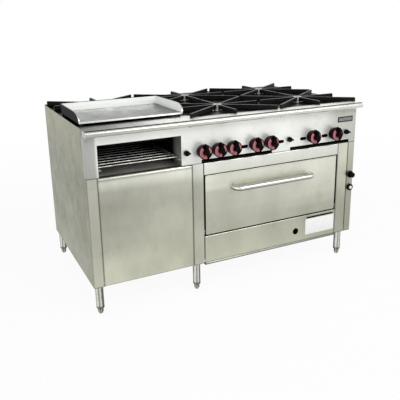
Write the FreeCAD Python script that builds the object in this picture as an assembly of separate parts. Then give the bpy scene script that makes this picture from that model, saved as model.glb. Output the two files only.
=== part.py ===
import FreeCAD, Part
import math
import os

# A free-standing gas range: six burners with star trivets, a loose griddle plate, an open
# toaster-broiler and an oven with a drop-down door.
# Millimetres. Places are measured from the body's left side (x), its front plane (y, positive
# towards the back) and the floor (z). The export puts the origin under the middle of the object.

# Sheet metal and clearances
sheet = 2.0
bend = 4.0
corner_bend = 9.0
seam = 1.0
rest_gap = 0.3
pin_clearance = 0.05
slide_clearance = 2.0

# Widths along the front, from the left side to the right
side_flange = 48.0
cabinet_width = 459.0
middle_post_width = 60.0
oven_width = 816.0
right_post_width = 69.0

# Heights up the front, from the floor to the deck
leg_height = 140.0
lower_panel_height = 143.0
door_gap = 6.0
door_height = 307.0
door_top_gap = 3.0
top_rail_height = 60.0
control_panel_height = 190.0
front_rail_height = 30.0

# Body
body_depth = 820.0
front_rail_reach = 46.0
front_rail_depth = 20.0
deck_lap = 55.0
post_depth = 42.0
panel_return = 25.0
flange_depth = 14.0
panel_wrap = 30.0
lower_lip_drop = 9.0
lower_lip_reach = 5.0
lower_lip_height = 7.0
post_corner_cut = 20.0

# Lower front panel
sight_hole_from_oven = 550.0
sight_hole_height = 63.0
sight_hole_radius = 18.0
panel_slot_from_oven = 621.0
panel_slot_length = 180.0
panel_slot_height = 127.0
panel_slot_half = 4.5

# Oven
cavity_side = 73.0
cavity_sill = 36.0
cavity_height = 260.0
cavity_depth = 630.0
insulation = 38.0
liner_frame_margin = 30.0
oven_burner_radius = 15.0
oven_floor_height = 43.0
rack_guide_height = 105.0
rack_guide_width = 12.0
oven_rack_pitch = 42.0

# Wire racks
rack_rod_radius = 3.0
rack_bar_width = 4.0
rack_bar_height = 9.0

# Oven door
door_side_gap = 8.0
door_pan_depth = 30.0
door_plug_depth = 8.0
door_plug_margin = 30.0
hinge_depth = 15.0
hinge_rise = 18.0
hinge_pin_radius = 5.0
hinge_pin_reach = 18.0
hinge_boss_radius = 9.0
hinge_plate = 3.0
hinge_plate_size = 20.0
handle_length = 490.0
handle_offset = -13.0
handle_radius = 12.5
handle_standoff = 40.0
handle_bend = 28.0
handle_below_top = 80.0
handle_foot_radius = 14.5
handle_foot_thickness = 2.0

# Broiler
broiler_left_margin = 8.0
broiler_right_margin = 54.0
broiler_height = 145.0
broiler_depth = 400.0
broiler_lip_radius = 16.0
broiler_ledge_height = 32.0
broiler_ledge_width = 14.0
broiler_rack_side_gap = 4.0
broiler_rack_front = 38.0
broiler_rack_depth = 330.0
broiler_rack_rods = 8
broiler_burner_thickness = 22.0
broiler_burner_margin = 45.0

# Drip trays
tray_slot_height = 18.0
tray_offsets = [-11.0, 498.0]
tray_widths = [399.0, 388.0]
tray_depth = 640.0
tray_wall = 12.0
tray_front_wall = 5.0
tray_sheet = 1.5
shelf_margin = 16.0

# Cooktop
column_pitch = 500.0
row_pitch = 397.0
front_row = 202.0
deck_opening = 120.0
trivet_gap = 16.0
trivet_row_gap = 13.0
trivet_height = 21.0
trivet_arm_thickness = 11.0
trivet_end_chamfer = 4.0
trivet_hub_radius = 22.0
trivet_hub_hole = 9.0

# Griddle plate
griddle_width = 482.0
griddle_depth = 325.0
griddle_front = 71.0
griddle_thickness = 8.0
griddle_wall = 5.0
griddle_wall_height = 38.0
griddle_lean = 3.5
griddle_flare = 10.0
griddle_nose = 75.0
griddle_foot_height = 13.0
griddle_foot_radius = 7.0
griddle_foot_inset = 14.0

# Burners
burner_support_width = 30.0
burner_support_thickness = 4.0
burner_base_height = 33.0
burner_base_radius = 30.0
burner_rim_radius = 56.0
burner_head_radius = 46.0
burner_head_height = 22.0
burner_cap_edge = 7.0
burner_cap_dome = 8.0
burner_cap_top_radius = 36.0
burner_ports = 20
burner_port_width = 4.0
burner_port_height = 9.0
burner_port_depth = 6.0
burner_drop = 66.0
venturi_radius = 14.0
venturi_front = 62.0
rear_venturi_offset = 78.0
venturi_bend = 20.0

# Gas supply
knob_line = 61.0
manifold_y = 72.0
manifold_radius = 12.0
manifold_bend = 26.0
manifold_start = 468.0
inlet_from_right = 30.0
inlet_reach = 30.0
inlet_nipple = 26.0
inlet_radius = 13.2
inlet_hole_clearance = 3.0
valve_radius = 14.0
valve_nut_radius = 18.0
valve_nut = 5.0
stem_radius = 4.0
stem_reach = 22.0
stem_hole_clearance = 2.0
gas_tube_radius = 4.0
gas_lanes = [50.0, 32.0]
broiler_lane = 14.0
broiler_tube_gap = 8.0

# Knobs on the control panel
burner_knob_places = [560.0, 640.0, 721.0, 848.0, 1198.0, 1342.0]
broiler_knob_place = 936.0
knob_radius = 35.0
knob_tip = 42.0
knob_back_radius = 30.0
knob_back_tip = 31.0
knob_depth = 38.0
knob_panel_gap = 1.5
knob_grip_radius = 13.0
knob_grip_tip = 40.0
knob_grip_height = 22.0
knob_grip_scale = 0.95
knob_face_recess = 3.0
knob_ring_outer = 32.5
knob_ring_inner = 13.5
pilot_places = [477.0, 1057.0, 1429.0]
pilot_radius = 13.0
pilot_depth = 24.0
pilot_grip_width = 8.0
pilot_stem_radius = 3.0
pilot_stem_reach = 14.0
lighting_slots = [793.0, 1007.0, 1147.0, 1287.0]
lighting_slot_length = 40.0
lighting_slot_half = 8.5
lighting_slot_drop = 7.0

# Oven controls on the right strip
control_from_right = 23.0
thermostat_height = 334.0
thermostat_body = 40.0
thermostat_body_depth = 60.0
thermostat_neck_radius = 11.0
thermostat_stem_reach = 11.0
thermostat_knob_radius = 19.0
thermostat_knob_depth = 24.0
thermostat_skirt = 6.0
thermostat_crown_front = 13.7
thermostat_crown_back = 15.6
igniter_height = 260.0
igniter_bezel_radius = 18.5
igniter_bezel_depth = 9.0
igniter_button_radius = 9.0
igniter_button_reach = 15.0
igniter_travel = 5.0
igniter_body_radius = 14.0
igniter_body_depth = 38.0
igniter_well_depth = 19.0

# Legs and feet
left_leg_inset = 28.0
middle_leg_offset = 23.0
right_leg_inset = 70.0
leg_inset = 25.0
leg_radius = 19.0
leg_seat_half = 17.0
leg_bottom = 30.0
leg_collar = 3.0
leg_collar_thickness = 4.0
foot_radius = 13.5
foot_tip_radius = 9.0
foot_tip_height = 10.0
foot_stud_radius = 6.0
foot_stud_length = 40.0

# Worked-out places along the front
body_width = 2 * side_flange + cabinet_width + middle_post_width + oven_width + right_post_width
cabinet_end = side_flange + cabinet_width
oven_start = cabinet_end + middle_post_width
oven_end = oven_start + oven_width
right_post_end = oven_end + right_post_width

# Worked-out heights
lower_panel_top = leg_height + lower_panel_height
door_bottom = lower_panel_top + door_gap
door_top = door_bottom + door_height
top_rail_bottom = door_top + door_top_gap
top_rail_top = top_rail_bottom + top_rail_height
panel_bottom = top_rail_top + seam
panel_top = panel_bottom + control_panel_height
deck_top = panel_top + front_rail_height
deck_bottom = deck_top - sheet
rail_top = deck_bottom - seam
knob_z = panel_bottom + knob_line
manifold_z = knob_z
knob_places = sorted(burner_knob_places + [broiler_knob_place])

# Worked-out places of the burners and trivets
column_places = [body_width / 2 + column_pitch * step for step in (-1, 0, 1)]
row_places = [front_row, front_row + row_pitch]
trivet_width = column_pitch - trivet_gap
trivet_depth = row_pitch - trivet_row_gap
trivet_bottom = deck_top + rest_gap
burner_base = deck_top - burner_drop
venturi_z = burner_base + burner_base_height / 2

x_axis = FreeCAD.Vector(1, 0, 0)
y_axis = FreeCAD.Vector(0, 1, 0)
z_axis = FreeCAD.Vector(0, 0, 1)


def point(x, y, z):
    return FreeCAD.Vector(x, y, z)


def block(x_range, y_range, z_range):
    """A box between two limits on each axis."""
    low = point(x_range[0], y_range[0], z_range[0])
    return Part.makeBox(x_range[1] - x_range[0], y_range[1] - y_range[0], z_range[1] - z_range[0], low)


def rod(start, end, radius):
    """A round bar from one point to another."""
    along = end - start
    return Part.makeCylinder(radius, along.Length, start, along)


def fused(shapes):
    """One solid from several that touch."""
    whole = shapes[0]
    if len(shapes) > 1:
        whole = whole.multiFuse(shapes[1:])
    return whole.removeSplitter()


def bent_edges(points, radii):
    """Straight runs through the points, with an arc of the given radius at each inner point."""
    edges = []
    start = points[0]
    for before, corner, after, radius in zip(points, points[1:], points[2:], radii):
        back = (before - corner).normalize()
        ahead = (after - corner).normalize()
        half_turn = back.getAngle(ahead) / 2
        reach = radius / math.tan(half_turn)
        enter = corner + back * reach
        leave = corner + ahead * reach
        middle = (back + ahead).normalize()
        top = corner + middle * (radius / math.sin(half_turn) - radius)
        edges.append(Part.LineSegment(start, enter).toShape())
        edges.append(Part.Arc(enter, top, leave).toShape())
        start = leave
    edges.append(Part.LineSegment(start, points[-1]).toShape())
    return edges


def bent_bar(points, radius, bend_radius):
    """A round bar through the points, with a bend of one radius at each inner point."""
    spine = Part.Wire(bent_edges(points, [bend_radius] * (len(points) - 2)))
    section = Part.Wire(Part.makeCircle(radius, points[0], points[1] - points[0]))
    return spine.makePipeShell([section], True, False)


def mitred_bar(points, radius):
    """A round bar through the points, with a sharp mitre at each inner point."""
    spine = Part.makePolygon(points)
    section = Part.Wire(Part.makeCircle(radius, points[0], points[1] - points[0]))
    return spine.makePipeShell([section], True, False, 1)


def folded_sheet(points, radii, along):
    """A folded sheet: its outer face follows the points. Seen with the extrusion coming towards the
    viewer, its metal lies on the left of the path."""
    normal = (along * 1).normalize()
    sides = [normal.cross((end - start).normalize()) * sheet for start, end in zip(points, points[1:])]
    inner = [points[0] + sides[0]]
    inner_radii = []
    for corner, before, after, radius in zip(points[1:], sides, sides[1:], radii):
        inner.append(corner + (before + after) * (sheet ** 2 / (sheet ** 2 + before.dot(after))))
        inner_radii.append(radius - math.copysign(sheet, before.cross(after).dot(normal)))
    inner.append(points[-1] + sides[-1])
    far_end = Part.LineSegment(points[-1], inner[-1]).toShape()
    near_end = Part.LineSegment(inner[0], points[0]).toShape()
    outer_edges = bent_edges(points, radii)
    inner_edges = bent_edges(inner[::-1], inner_radii[::-1])
    outline = Part.Wire(outer_edges + [far_end] + inner_edges + [near_end])
    return Part.Face(outline).extrude(along)


def front_slot(x_range, z, half_height, y_range):
    """A slot with round ends, for cutting through a front sheet."""
    depth = y_range[1] - y_range[0]
    low = x_range[0] + half_height
    high = x_range[1] - half_height
    middle = block((low, high), y_range, (z - half_height, z + half_height))
    ends = [Part.makeCylinder(half_height, depth, point(x, y_range[0], z), y_axis) for x in (low, high)]
    return fused([middle] + ends)


def front_hole(x, z, radius):
    """A round hole through the front sheets."""
    return Part.makeCylinder(radius, 3 * sheet, point(x, -sheet, z), y_axis)


# Sheet-metal body

def make_left_side():
    path = [point(0, body_depth, leg_height), point(0, 0, leg_height), point(side_flange, 0, leg_height)]
    lower = folded_sheet(path, [corner_bend], z_axis * (top_rail_top - leg_height))
    upper = block((0, sheet), (panel_wrap, body_depth), (top_rail_top - sheet, deck_bottom))
    return fused([lower, upper])


def make_right_side():
    panel = make_left_side().mirror(point(body_width / 2, 0, 0), x_axis)
    thermostat_hole = front_hole(control_x, control_z(thermostat_height), stem_radius + stem_hole_clearance)
    igniter_hole = front_hole(control_x, control_z(igniter_height), igniter_body_radius + rest_gap)
    return panel.cut(thermostat_hole).cut(igniter_hole)


def make_back_panel():
    panel = block((sheet, body_width - sheet), (body_depth - sheet, body_depth), (leg_height, deck_bottom))
    hole_start = point(inlet_x, body_depth - 2 * sheet, manifold_z)
    hole = rod(hole_start, hole_start + y_axis * 3 * sheet, inlet_radius + inlet_hole_clearance)
    return panel.cut(hole)


def make_base_pan():
    inner = (sheet, body_width - sheet)
    floor_z = (leg_height, leg_height + sheet)
    edge_z = (leg_height, leg_height + panel_return)
    front = post_depth
    back = body_depth - sheet
    floor = block(inner, (front, back), floor_z)
    front_edge = block(inner, (front, front + sheet), edge_z)
    rear_edge = block(inner, (back - sheet, back), edge_z)
    tongues = [block((x - leg_seat_half, x + leg_seat_half), (sheet, front + sheet), floor_z)
               for x in leg_places]
    return fused([floor, front_edge, rear_edge] + tongues)


def make_post(start, end):
    path = [point(start, post_depth, leg_height), point(start, 0, leg_height),
            point(end, 0, leg_height), point(end, post_depth, leg_height)]
    return folded_sheet(path, [bend, bend], z_axis * (top_rail_top - leg_height))


def make_middle_post():
    post = make_post(cabinet_end, oven_start)
    corner = block((oven_start - post_corner_cut, oven_start), (0, panel_return),
                   (leg_height, leg_height + post_corner_cut))
    keep = Part.makeCylinder(post_corner_cut, panel_return,
                             point(oven_start - post_corner_cut, 0, leg_height + post_corner_cut), y_axis)
    return post.cut(corner.cut(keep))


def make_cabinet_panel():
    x = side_flange + seam
    path = [point(x, panel_return, broiler_bottom), point(x, 0, broiler_bottom),
            point(x, 0, leg_height), point(x, panel_return, leg_height)]
    return folded_sheet(path, [broiler_lip_radius, bend], x_axis * (cabinet_width - 2 * seam))


def end_flanges(z_range):
    """Flanges at both ends of a sheet across the oven's front, welded to the posts behind the seams."""
    width = seam + sheet
    y_range = (panel_return - flange_depth, panel_return)
    return [block((x, x + width), y_range, z_range) for x in (oven_start, oven_end - width)]


def make_lower_front_panel():
    x = oven_start + seam
    lip_bottom = leg_height - lower_lip_drop
    lip_top = lip_bottom + lower_lip_height
    path = [point(x, panel_return, lower_panel_top), point(x, 0, lower_panel_top),
            point(x, 0, lip_top + lower_lip_reach), point(x, -lower_lip_reach, lip_top),
            point(x, -lower_lip_reach, lip_bottom), point(x, panel_return, lip_bottom)]
    panel = folded_sheet(path, [bend, bend, bend, bend], x_axis * (oven_width - 2 * seam))
    panel = fused([panel] + end_flanges((leg_height + panel_return, lower_panel_top)))
    hole = front_hole(oven_start + sight_hole_from_oven, leg_height + sight_hole_height, sight_hole_radius)
    slot_start = oven_start + panel_slot_from_oven
    slot = front_slot((slot_start, slot_start + panel_slot_length), leg_height + panel_slot_height,
                      panel_slot_half, (-sheet, 2 * sheet))
    return panel.cut(hole).cut(slot)


def make_oven_top_rail():
    x = oven_start + seam
    path = [point(x, panel_return, top_rail_top), point(x, 0, top_rail_top),
            point(x, 0, top_rail_bottom), point(x, panel_return, top_rail_bottom)]
    rail = folded_sheet(path, [bend, bend], x_axis * (oven_width - 2 * seam))
    return fused([rail] + end_flanges((top_rail_bottom, top_rail_top)))


def make_control_panel():
    path = [point(0, panel_wrap - seam, panel_bottom), point(0, 0, panel_bottom),
            point(body_width, 0, panel_bottom), point(body_width, panel_wrap - seam, panel_bottom)]
    panel = folded_sheet(path, [corner_bend, corner_bend], z_axis * control_panel_height)
    cut_y = (-sheet, 2 * sheet)
    slot_z = (panel_bottom - seam, panel_bottom + tray_slot_height)
    cuts = [block(broiler_x, cut_y, (panel_bottom - seam, broiler_top))]
    for start, width in zip(tray_starts, tray_widths):
        cuts.append(block((start, start + width), cut_y, slot_z))
    cuts += [front_hole(x, knob_z, stem_radius + stem_hole_clearance) for x in knob_places]
    cuts += [front_hole(x, knob_z, pilot_stem_radius + stem_hole_clearance) for x in pilot_places]
    for x in lighting_slots:
        ends = (x - lighting_slot_length / 2, x + lighting_slot_length / 2)
        cuts.append(front_slot(ends, knob_z - lighting_slot_drop, lighting_slot_half, cut_y))
    return panel.cut(cuts)


def make_front_rail():
    nose = (rail_top - panel_top) / 2 - seam
    path = [point(0, front_rail_depth, rail_top), point(0, -front_rail_reach, rail_top),
            point(0, -front_rail_reach, panel_top), point(0, front_rail_depth, panel_top)]
    shell = folded_sheet(path, [nose, nose], x_axis * body_width)
    back_edge = Part.LineSegment(path[-1], path[0]).toShape()
    end_face = Part.Face(Part.Wire(bent_edges(path, [nose, nose]) + [back_edge]))
    left_cap = end_face.extrude(x_axis * sheet)
    right_cap = left_cap.translated(x_axis * (body_width - sheet))
    return fused([shell, left_cap, right_cap])


def spans_between(places, half, first, last):
    """The stretches left between openings that are centred on the places."""
    starts = [first] + [place + half for place in places]
    ends = [place - half for place in places] + [last]
    return list(zip(starts, ends))


def make_cooktop_deck():
    """The deck, welded edge to edge from strips that leave a square opening round each burner."""
    half = deck_opening / 2
    z_range = (deck_bottom, deck_top)
    strips = []
    for y_range in spans_between(row_places, half, front_rail_depth - deck_lap, body_depth):
        strips.append(block((0, body_width), y_range, z_range))
    for y in row_places:
        for x_range in spans_between(column_places, half, 0, body_width):
            strips.append(block(x_range, (y - half, y + half), z_range))
    return Part.makeCompound(strips)


# Oven

def make_oven_liner():
    shell = block((cavity_x[0] - sheet, cavity_x[1] + sheet), (post_depth, cavity_y[1] + sheet),
                  (cavity_z[0] - sheet, cavity_z[1] + sheet))
    frame_z = (door_bottom - door_gap / 2, top_rail_bottom + liner_frame_margin)
    frame = block((oven_start - liner_frame_margin, oven_end + liner_frame_margin),
                  (post_depth, post_depth + sheet), frame_z)
    cavity = block(cavity_x, (0, cavity_y[1]), cavity_z)
    guide_z = (cavity_z[0] + rack_guide_height, cavity_z[0] + rack_guide_height + sheet)
    guide_y = (cavity_y[0] + slide_clearance, cavity_y[1])
    guides = [block((x, x + rack_guide_width), guide_y, guide_z)
              for x in (cavity_x[0], cavity_x[1] - rack_guide_width)]
    return fused([fused([shell, frame]).cut(cavity)] + guides)


def make_oven_insulation():
    wrap = block((cavity_x[0] - sheet - insulation, cavity_x[1] + sheet + insulation),
                 (post_depth + sheet, cavity_y[1] + sheet + insulation),
                 (cavity_z[0] - sheet - insulation, top_rail_top - sheet))
    liner = block((cavity_x[0] - sheet, cavity_x[1] + sheet), (0, cavity_y[1] + sheet),
                  (cavity_z[0] - sheet, cavity_z[1] + sheet))
    return wrap.cut(liner)


def make_oven_floor():
    y = cavity_y[0] + slide_clearance
    top = cavity_z[0] + oven_floor_height
    ends = (cavity_x[0] + slide_clearance, cavity_x[1] - slide_clearance)
    path = [point(ends[0], y, cavity_z[0]), point(ends[0], y, top),
            point(ends[1], y, top), point(ends[1], y, cavity_z[0])]
    depth = cavity_y[1] - slide_clearance - y
    return folded_sheet(path, [bend, bend], y_axis * depth)


def make_oven_burner():
    z = cavity_z[0] + oven_burner_radius
    x = (cavity_x[0] + cavity_x[1]) / 2
    start = point(x, cavity_y[0] + 4 * oven_burner_radius, z)
    end = point(x, cavity_y[1], z)
    return rod(start, end, oven_burner_radius)


def make_wire_rack(x_range, y_range, z, count):
    """A wire rack: round rods across, welded between two flat side bars."""
    side_z = (z, z + rack_bar_height)
    inner = (x_range[0] + rack_bar_width, x_range[1] - rack_bar_width)
    sides = [block(ends, y_range, side_z) for ends in ((x_range[0], inner[0]), (inner[1], x_range[1]))]
    rod_z = z + rack_bar_height / 2
    step = (y_range[1] - y_range[0] - rack_bar_height) / (count - 1)
    rods = []
    for index in range(count):
        y = y_range[0] + rack_bar_height / 2 + index * step
        rods.append(rod(point(inner[0], y, rod_z), point(inner[1], y, rod_z), rack_rod_radius))
    return fused(sides + rods)


def make_oven_rack():
    z = cavity_z[0] + rack_guide_height + sheet
    x_range = (cavity_x[0] + slide_clearance, cavity_x[1] - slide_clearance)
    y_range = (cavity_y[0] + 2 * oven_rack_pitch, cavity_y[1] - oven_rack_pitch)
    count = int((y_range[1] - y_range[0]) / oven_rack_pitch) + 1
    return make_wire_rack(x_range, y_range, z, count)


# Oven door

def make_door_outer():
    pan = block(door_x, (0, door_pan_depth), (door_bottom, door_top))
    front_edges = [edge for edge in pan.Edges if edge.BoundBox.YMax < sheet]
    pan = pan.makeFillet(bend, front_edges)
    hollow = block((door_x[0] + sheet, door_x[1] - sheet), (sheet, door_pan_depth),
                   (door_bottom + sheet, door_top - sheet))
    bosses = [rod(point(door_x[0] + sheet, hinge_depth, hinge_z),
                  point(door_x[0] + hinge_pin_reach + sheet, hinge_depth, hinge_z), hinge_boss_radius),
              rod(point(door_x[1] - sheet, hinge_depth, hinge_z),
                  point(door_x[1] - hinge_pin_reach - sheet, hinge_depth, hinge_z), hinge_boss_radius)]
    bores = [rod(point(door_x[0] - sheet, hinge_depth, hinge_z),
                 point(door_x[0] + hinge_pin_reach + rest_gap, hinge_depth, hinge_z),
                 hinge_pin_radius + pin_clearance),
             rod(point(door_x[1] + sheet, hinge_depth, hinge_z),
                 point(door_x[1] - hinge_pin_reach - rest_gap, hinge_depth, hinge_z),
                 hinge_pin_radius + pin_clearance)]
    return fused([pan.cut(hollow)] + bosses).cut(bores)


def make_door_inner():
    back = block(door_x, (door_pan_depth, door_pan_depth + sheet), (door_bottom, door_top))
    plug = block((door_x[0] + door_plug_margin, door_x[1] - door_plug_margin),
                 (door_pan_depth + sheet, door_pan_depth + door_plug_depth),
                 (door_bottom + door_plug_margin, door_top - door_plug_margin))
    rear_limit = door_pan_depth + door_plug_depth - bend / 2
    rear_edges = [edge for edge in plug.Edges if edge.BoundBox.YMin > rear_limit]
    return fused([back, plug.makeFillet(bend, rear_edges)])


def make_door_handle():
    middle = (door_x[0] + door_x[1]) / 2 + handle_offset
    ends = (middle - handle_length / 2 + handle_radius, middle + handle_length / 2 - handle_radius)
    path = [point(ends[0], -handle_foot_thickness, handle_z), point(ends[0], -handle_standoff, handle_z),
            point(ends[1], -handle_standoff, handle_z), point(ends[1], -handle_foot_thickness, handle_z)]
    bar = bent_bar(path, handle_radius, handle_bend)
    feet = [Part.makeCylinder(handle_foot_radius, handle_foot_thickness,
                              point(x, -handle_foot_thickness, handle_z), y_axis) for x in ends]
    return fused([bar] + feet)


def make_door_hinges():
    half = hinge_plate_size / 2
    hinges = []
    for wall, door_side, inward in ((oven_start, door_x[0], 1), (oven_end, door_x[1], -1)):
        face = wall + inward * hinge_plate
        plate = block((min(wall, face), max(wall, face)), (bend, post_depth - bend),
                      (hinge_z - half, hinge_z + half))
        pin = rod(point(face, hinge_depth, hinge_z),
                  point(door_side + inward * hinge_pin_reach, hinge_depth, hinge_z), hinge_pin_radius)
        hinges.append(fused([plate, pin]))
    return Part.makeCompound(hinges)


# Broiler

def make_broiler_liner():
    left, right = broiler_x
    outer = (left - sheet, right + sheet)
    front_y = (sheet, panel_return)
    shell = block(outer, (panel_return, broiler_depth + sheet),
                  (broiler_bottom - sheet, broiler_top + sheet))
    space = block(broiler_x, (0, broiler_depth), (broiler_bottom, broiler_top))
    cheeks = [block(ends, front_y, (broiler_bottom, broiler_top + sheet))
              for ends in ((outer[0], left), (right, outer[1]))]
    brow = block(outer, front_y, (broiler_top, broiler_top + sheet))
    ledge_top = broiler_bottom + broiler_ledge_height
    ledges = [block((x, x + broiler_ledge_width), (sheet, broiler_depth), (ledge_top - sheet, ledge_top))
              for x in (left, right - broiler_ledge_width)]
    feed = point(right, broiler_feed_y, broiler_feed_z)
    tube_hole = rod(feed - x_axis * sheet, feed + x_axis * 2 * sheet, gas_tube_radius + rest_gap)
    return fused([shell.cut(space), brow] + cheeks + ledges).cut(tube_hole)


def make_broiler_burner():
    y_range = (broiler_burner_margin, broiler_depth - broiler_burner_margin)
    z_range = (broiler_top - broiler_burner_thickness, broiler_top)
    box = block(broiler_burner_x, y_range, z_range)
    lower_edges = [edge for edge in box.Edges if edge.BoundBox.ZMax < z_range[0] + sheet]
    return box.makeChamfer(bend, lower_edges)


def make_broiler_rack():
    z = broiler_bottom + broiler_ledge_height + rest_gap
    x_range = (broiler_x[0] + broiler_rack_side_gap, broiler_x[1] - broiler_rack_side_gap)
    y_range = (broiler_rack_front, broiler_rack_front + broiler_rack_depth)
    return make_wire_rack(x_range, y_range, z, broiler_rack_rods)


# Drip trays

def make_drip_tray(start, width):
    x_range = (start + slide_clearance, start + width - slide_clearance)
    y_range = (tray_sheet, tray_sheet + tray_depth)
    tray_top = tray_bottom + tray_wall
    pan = block(x_range, y_range, (tray_bottom, tray_top))
    hollow = block((x_range[0] + tray_sheet, x_range[1] - tray_sheet),
                   (y_range[0] + tray_sheet, y_range[1] - tray_sheet), (tray_bottom + tray_sheet, tray_top))
    front_cut = block(x_range, (0, y_range[0] + tray_sheet), (tray_bottom + tray_front_wall, tray_top))
    return pan.cut(hollow).cut(front_cut)


def make_tray_shelf():
    x_range = (tray_starts[0] - shelf_margin, body_width - sheet)
    y_range = (post_depth + sheet, tray_depth + panel_return)
    return block(x_range, y_range, (tray_bottom - rest_gap - sheet, tray_bottom - rest_gap))


# Cooktop

def make_trivet_arm(length, turn):
    """One arm of a trivet: an upright bar from the hub, chamfered at its outer end."""
    profile = [point(0, 0, trivet_height), point(length - trivet_end_chamfer, 0, trivet_height),
               point(length, 0, trivet_height - trivet_end_chamfer), point(length, 0, 0), point(0, 0, 0)]
    face = Part.Face(Part.makePolygon(profile + profile[:1]))
    arm = face.extrude(y_axis * trivet_arm_thickness)
    arm.translate(y_axis * (-trivet_arm_thickness / 2))
    arm.rotate(point(0, 0, 0), z_axis, turn)
    return arm


def make_trivet(x, y):
    half_width = trivet_width / 2
    half_depth = trivet_depth / 2
    corner_turn = math.degrees(math.atan2(half_depth, half_width))
    corner_length = math.hypot(half_width, half_depth)
    arms = [make_trivet_arm(half_width, 0), make_trivet_arm(half_width, 180),
            make_trivet_arm(half_depth, 90), make_trivet_arm(half_depth, 270)]
    for turn in (corner_turn, 180 - corner_turn, 180 + corner_turn, 360 - corner_turn):
        arms.append(make_trivet_arm(corner_length, turn))
    limits = block((-half_width, half_width), (-half_depth, half_depth), (0, trivet_height))
    hub = Part.makeCylinder(trivet_hub_radius, trivet_height, point(0, 0, 0))
    hole = Part.makeCylinder(trivet_hub_hole, trivet_height, point(0, 0, 0))
    star = fused([hub] + arms).common(limits).cut(hole)
    return star.translated(point(x, y, trivet_bottom))


def griddle_side_wall(x, outward, leans, front, back, top):
    """A side wall of the griddle, leaning out by one amount at its front and another at its back."""
    sections = []
    for y, lean in zip((front, back), leans):
        foot = point(x, y, top)
        crest = point(x + outward * lean, y, top + griddle_wall_height)
        width = x_axis * (outward * griddle_wall)
        sections.append(Part.makePolygon([foot, foot + width, crest + width, crest, foot]))
    return Part.makeLoft(sections, True, True)


def griddle_back_wall(left, right, back, top):
    """The back wall of the griddle, leaning out, between the two side walls."""
    lean = y_axis * griddle_lean + z_axis * griddle_wall_height
    foot = point(left - griddle_lean, back, top)
    width = y_axis * griddle_wall
    section = Part.makePolygon([foot, foot + width, foot + width + lean, foot + lean, foot])
    return Part.Face(section).extrude(x_axis * (right - left + 2 * griddle_lean))


def make_griddle():
    left = column_places[0] - griddle_width / 2
    right = column_places[0] + griddle_width / 2
    front = griddle_front
    back = griddle_front + griddle_depth
    foot_bottom = deck_top + rest_gap
    bottom = foot_bottom + griddle_foot_height
    top = bottom + griddle_thickness
    plate_x = (left - griddle_wall, right + griddle_wall)
    floor = block(plate_x, (front, back + griddle_wall), (bottom, top))
    wall_back = back + griddle_wall + griddle_lean
    walls = fused([griddle_side_wall(left, -1, (griddle_lean, griddle_lean), front, wall_back, top),
                   griddle_side_wall(right, 1, (griddle_flare, griddle_lean), front, wall_back, top),
                   griddle_back_wall(left, right, back, top)])
    reach = griddle_flare + griddle_wall
    ends = (left - reach, right + reach)
    nose_block = block(ends, (front, front + griddle_nose), (top, top + griddle_wall_height))
    nose_round = Part.Ellipse(point(ends[0], front + griddle_nose, top), griddle_nose, griddle_wall_height)
    nose_round.Axis = x_axis
    nose_round.XAxis = y_axis
    nose_body = Part.Face(Part.Wire(nose_round.toShape())).extrude(x_axis * (ends[1] - ends[0]))
    feet = [Part.makeCylinder(griddle_foot_radius, griddle_foot_height, point(x, y, foot_bottom))
            for x in (plate_x[0] + griddle_foot_inset, plate_x[1] - griddle_foot_inset)
            for y in (front + griddle_foot_inset, back - griddle_foot_inset)]
    return fused([floor, walls.cut(nose_block.cut(nose_body))] + feet)


# Burners

def make_burner_supports():
    z_range = (burner_base - burner_support_thickness, burner_base)
    half = burner_support_width / 2
    return [block((sheet, body_width - sheet), (y - half, y + half), z_range) for y in row_places]


def make_burner_body(x, row):
    y = row_places[row]
    base = point(x, y, burner_base)
    bowl = Part.makeCone(burner_base_radius, burner_rim_radius, burner_base_height, base)
    inlet = point(x, venturi_front, venturi_z)
    route = [point(x, y, venturi_z), inlet]
    if row > 0:
        offset = x_axis * rear_venturi_offset
        route = [route[0], route[0] + offset, inlet + offset]
    return fused([bowl, bent_bar(route, venturi_radius, venturi_bend)])


def make_burner_head(x, y):
    """A burner's ported ring with a domed cap, which stands in the middle of its deck opening."""
    base = burner_base + burner_base_height
    ring_top = base + burner_head_height - burner_cap_edge
    edge = base + burner_head_height
    top = edge + burner_cap_dome
    profile = [point(0, 0, base), point(burner_head_radius, 0, base), point(burner_head_radius, 0, edge),
               point(burner_cap_top_radius, 0, top), point(0, 0, top)]
    face = Part.Face(Part.makePolygon(profile + profile[:1]))
    head = face.revolve(point(0, 0, 0), z_axis, 360)
    half = burner_port_width / 2
    port = block((burner_head_radius - burner_port_depth, burner_head_radius + burner_port_depth),
                 (-half, half), (ring_top - burner_port_height, ring_top))
    ports = []
    for step in range(burner_ports):
        notch = port.copy()
        notch.rotate(point(0, 0, 0), z_axis, 360 * step / burner_ports)
        ports.append(notch)
    return head.cut(ports).translated(point(x, y, 0))


# Gas supply

def make_valve(x, radius, reach):
    """A tap: hexagon nut behind the panel, barrel back to the manifold, and the stem for its knob."""
    centre = point(x, sheet, manifold_z)
    corners = []
    for step in range(7):
        turn = math.radians(60 * step)
        corners.append(centre + (x_axis * math.cos(turn) + z_axis * math.sin(turn)) * valve_nut_radius)
    nut = Part.Face(Part.makePolygon(corners)).extrude(y_axis * valve_nut)
    barrel_end = manifold_y - manifold_radius
    barrel = Part.makeCylinder(valve_radius, barrel_end - sheet, centre, y_axis)
    stem = Part.makeCylinder(radius, reach + sheet, point(x, -reach, manifold_z), y_axis)
    return fused([nut, barrel, stem])


def make_gas_valves():
    valves = [make_valve(x, stem_radius, stem_reach) for x in knob_places]
    valves += [make_valve(x, pilot_stem_radius, pilot_stem_reach) for x in pilot_places]
    return Part.makeCompound(valves)


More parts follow.
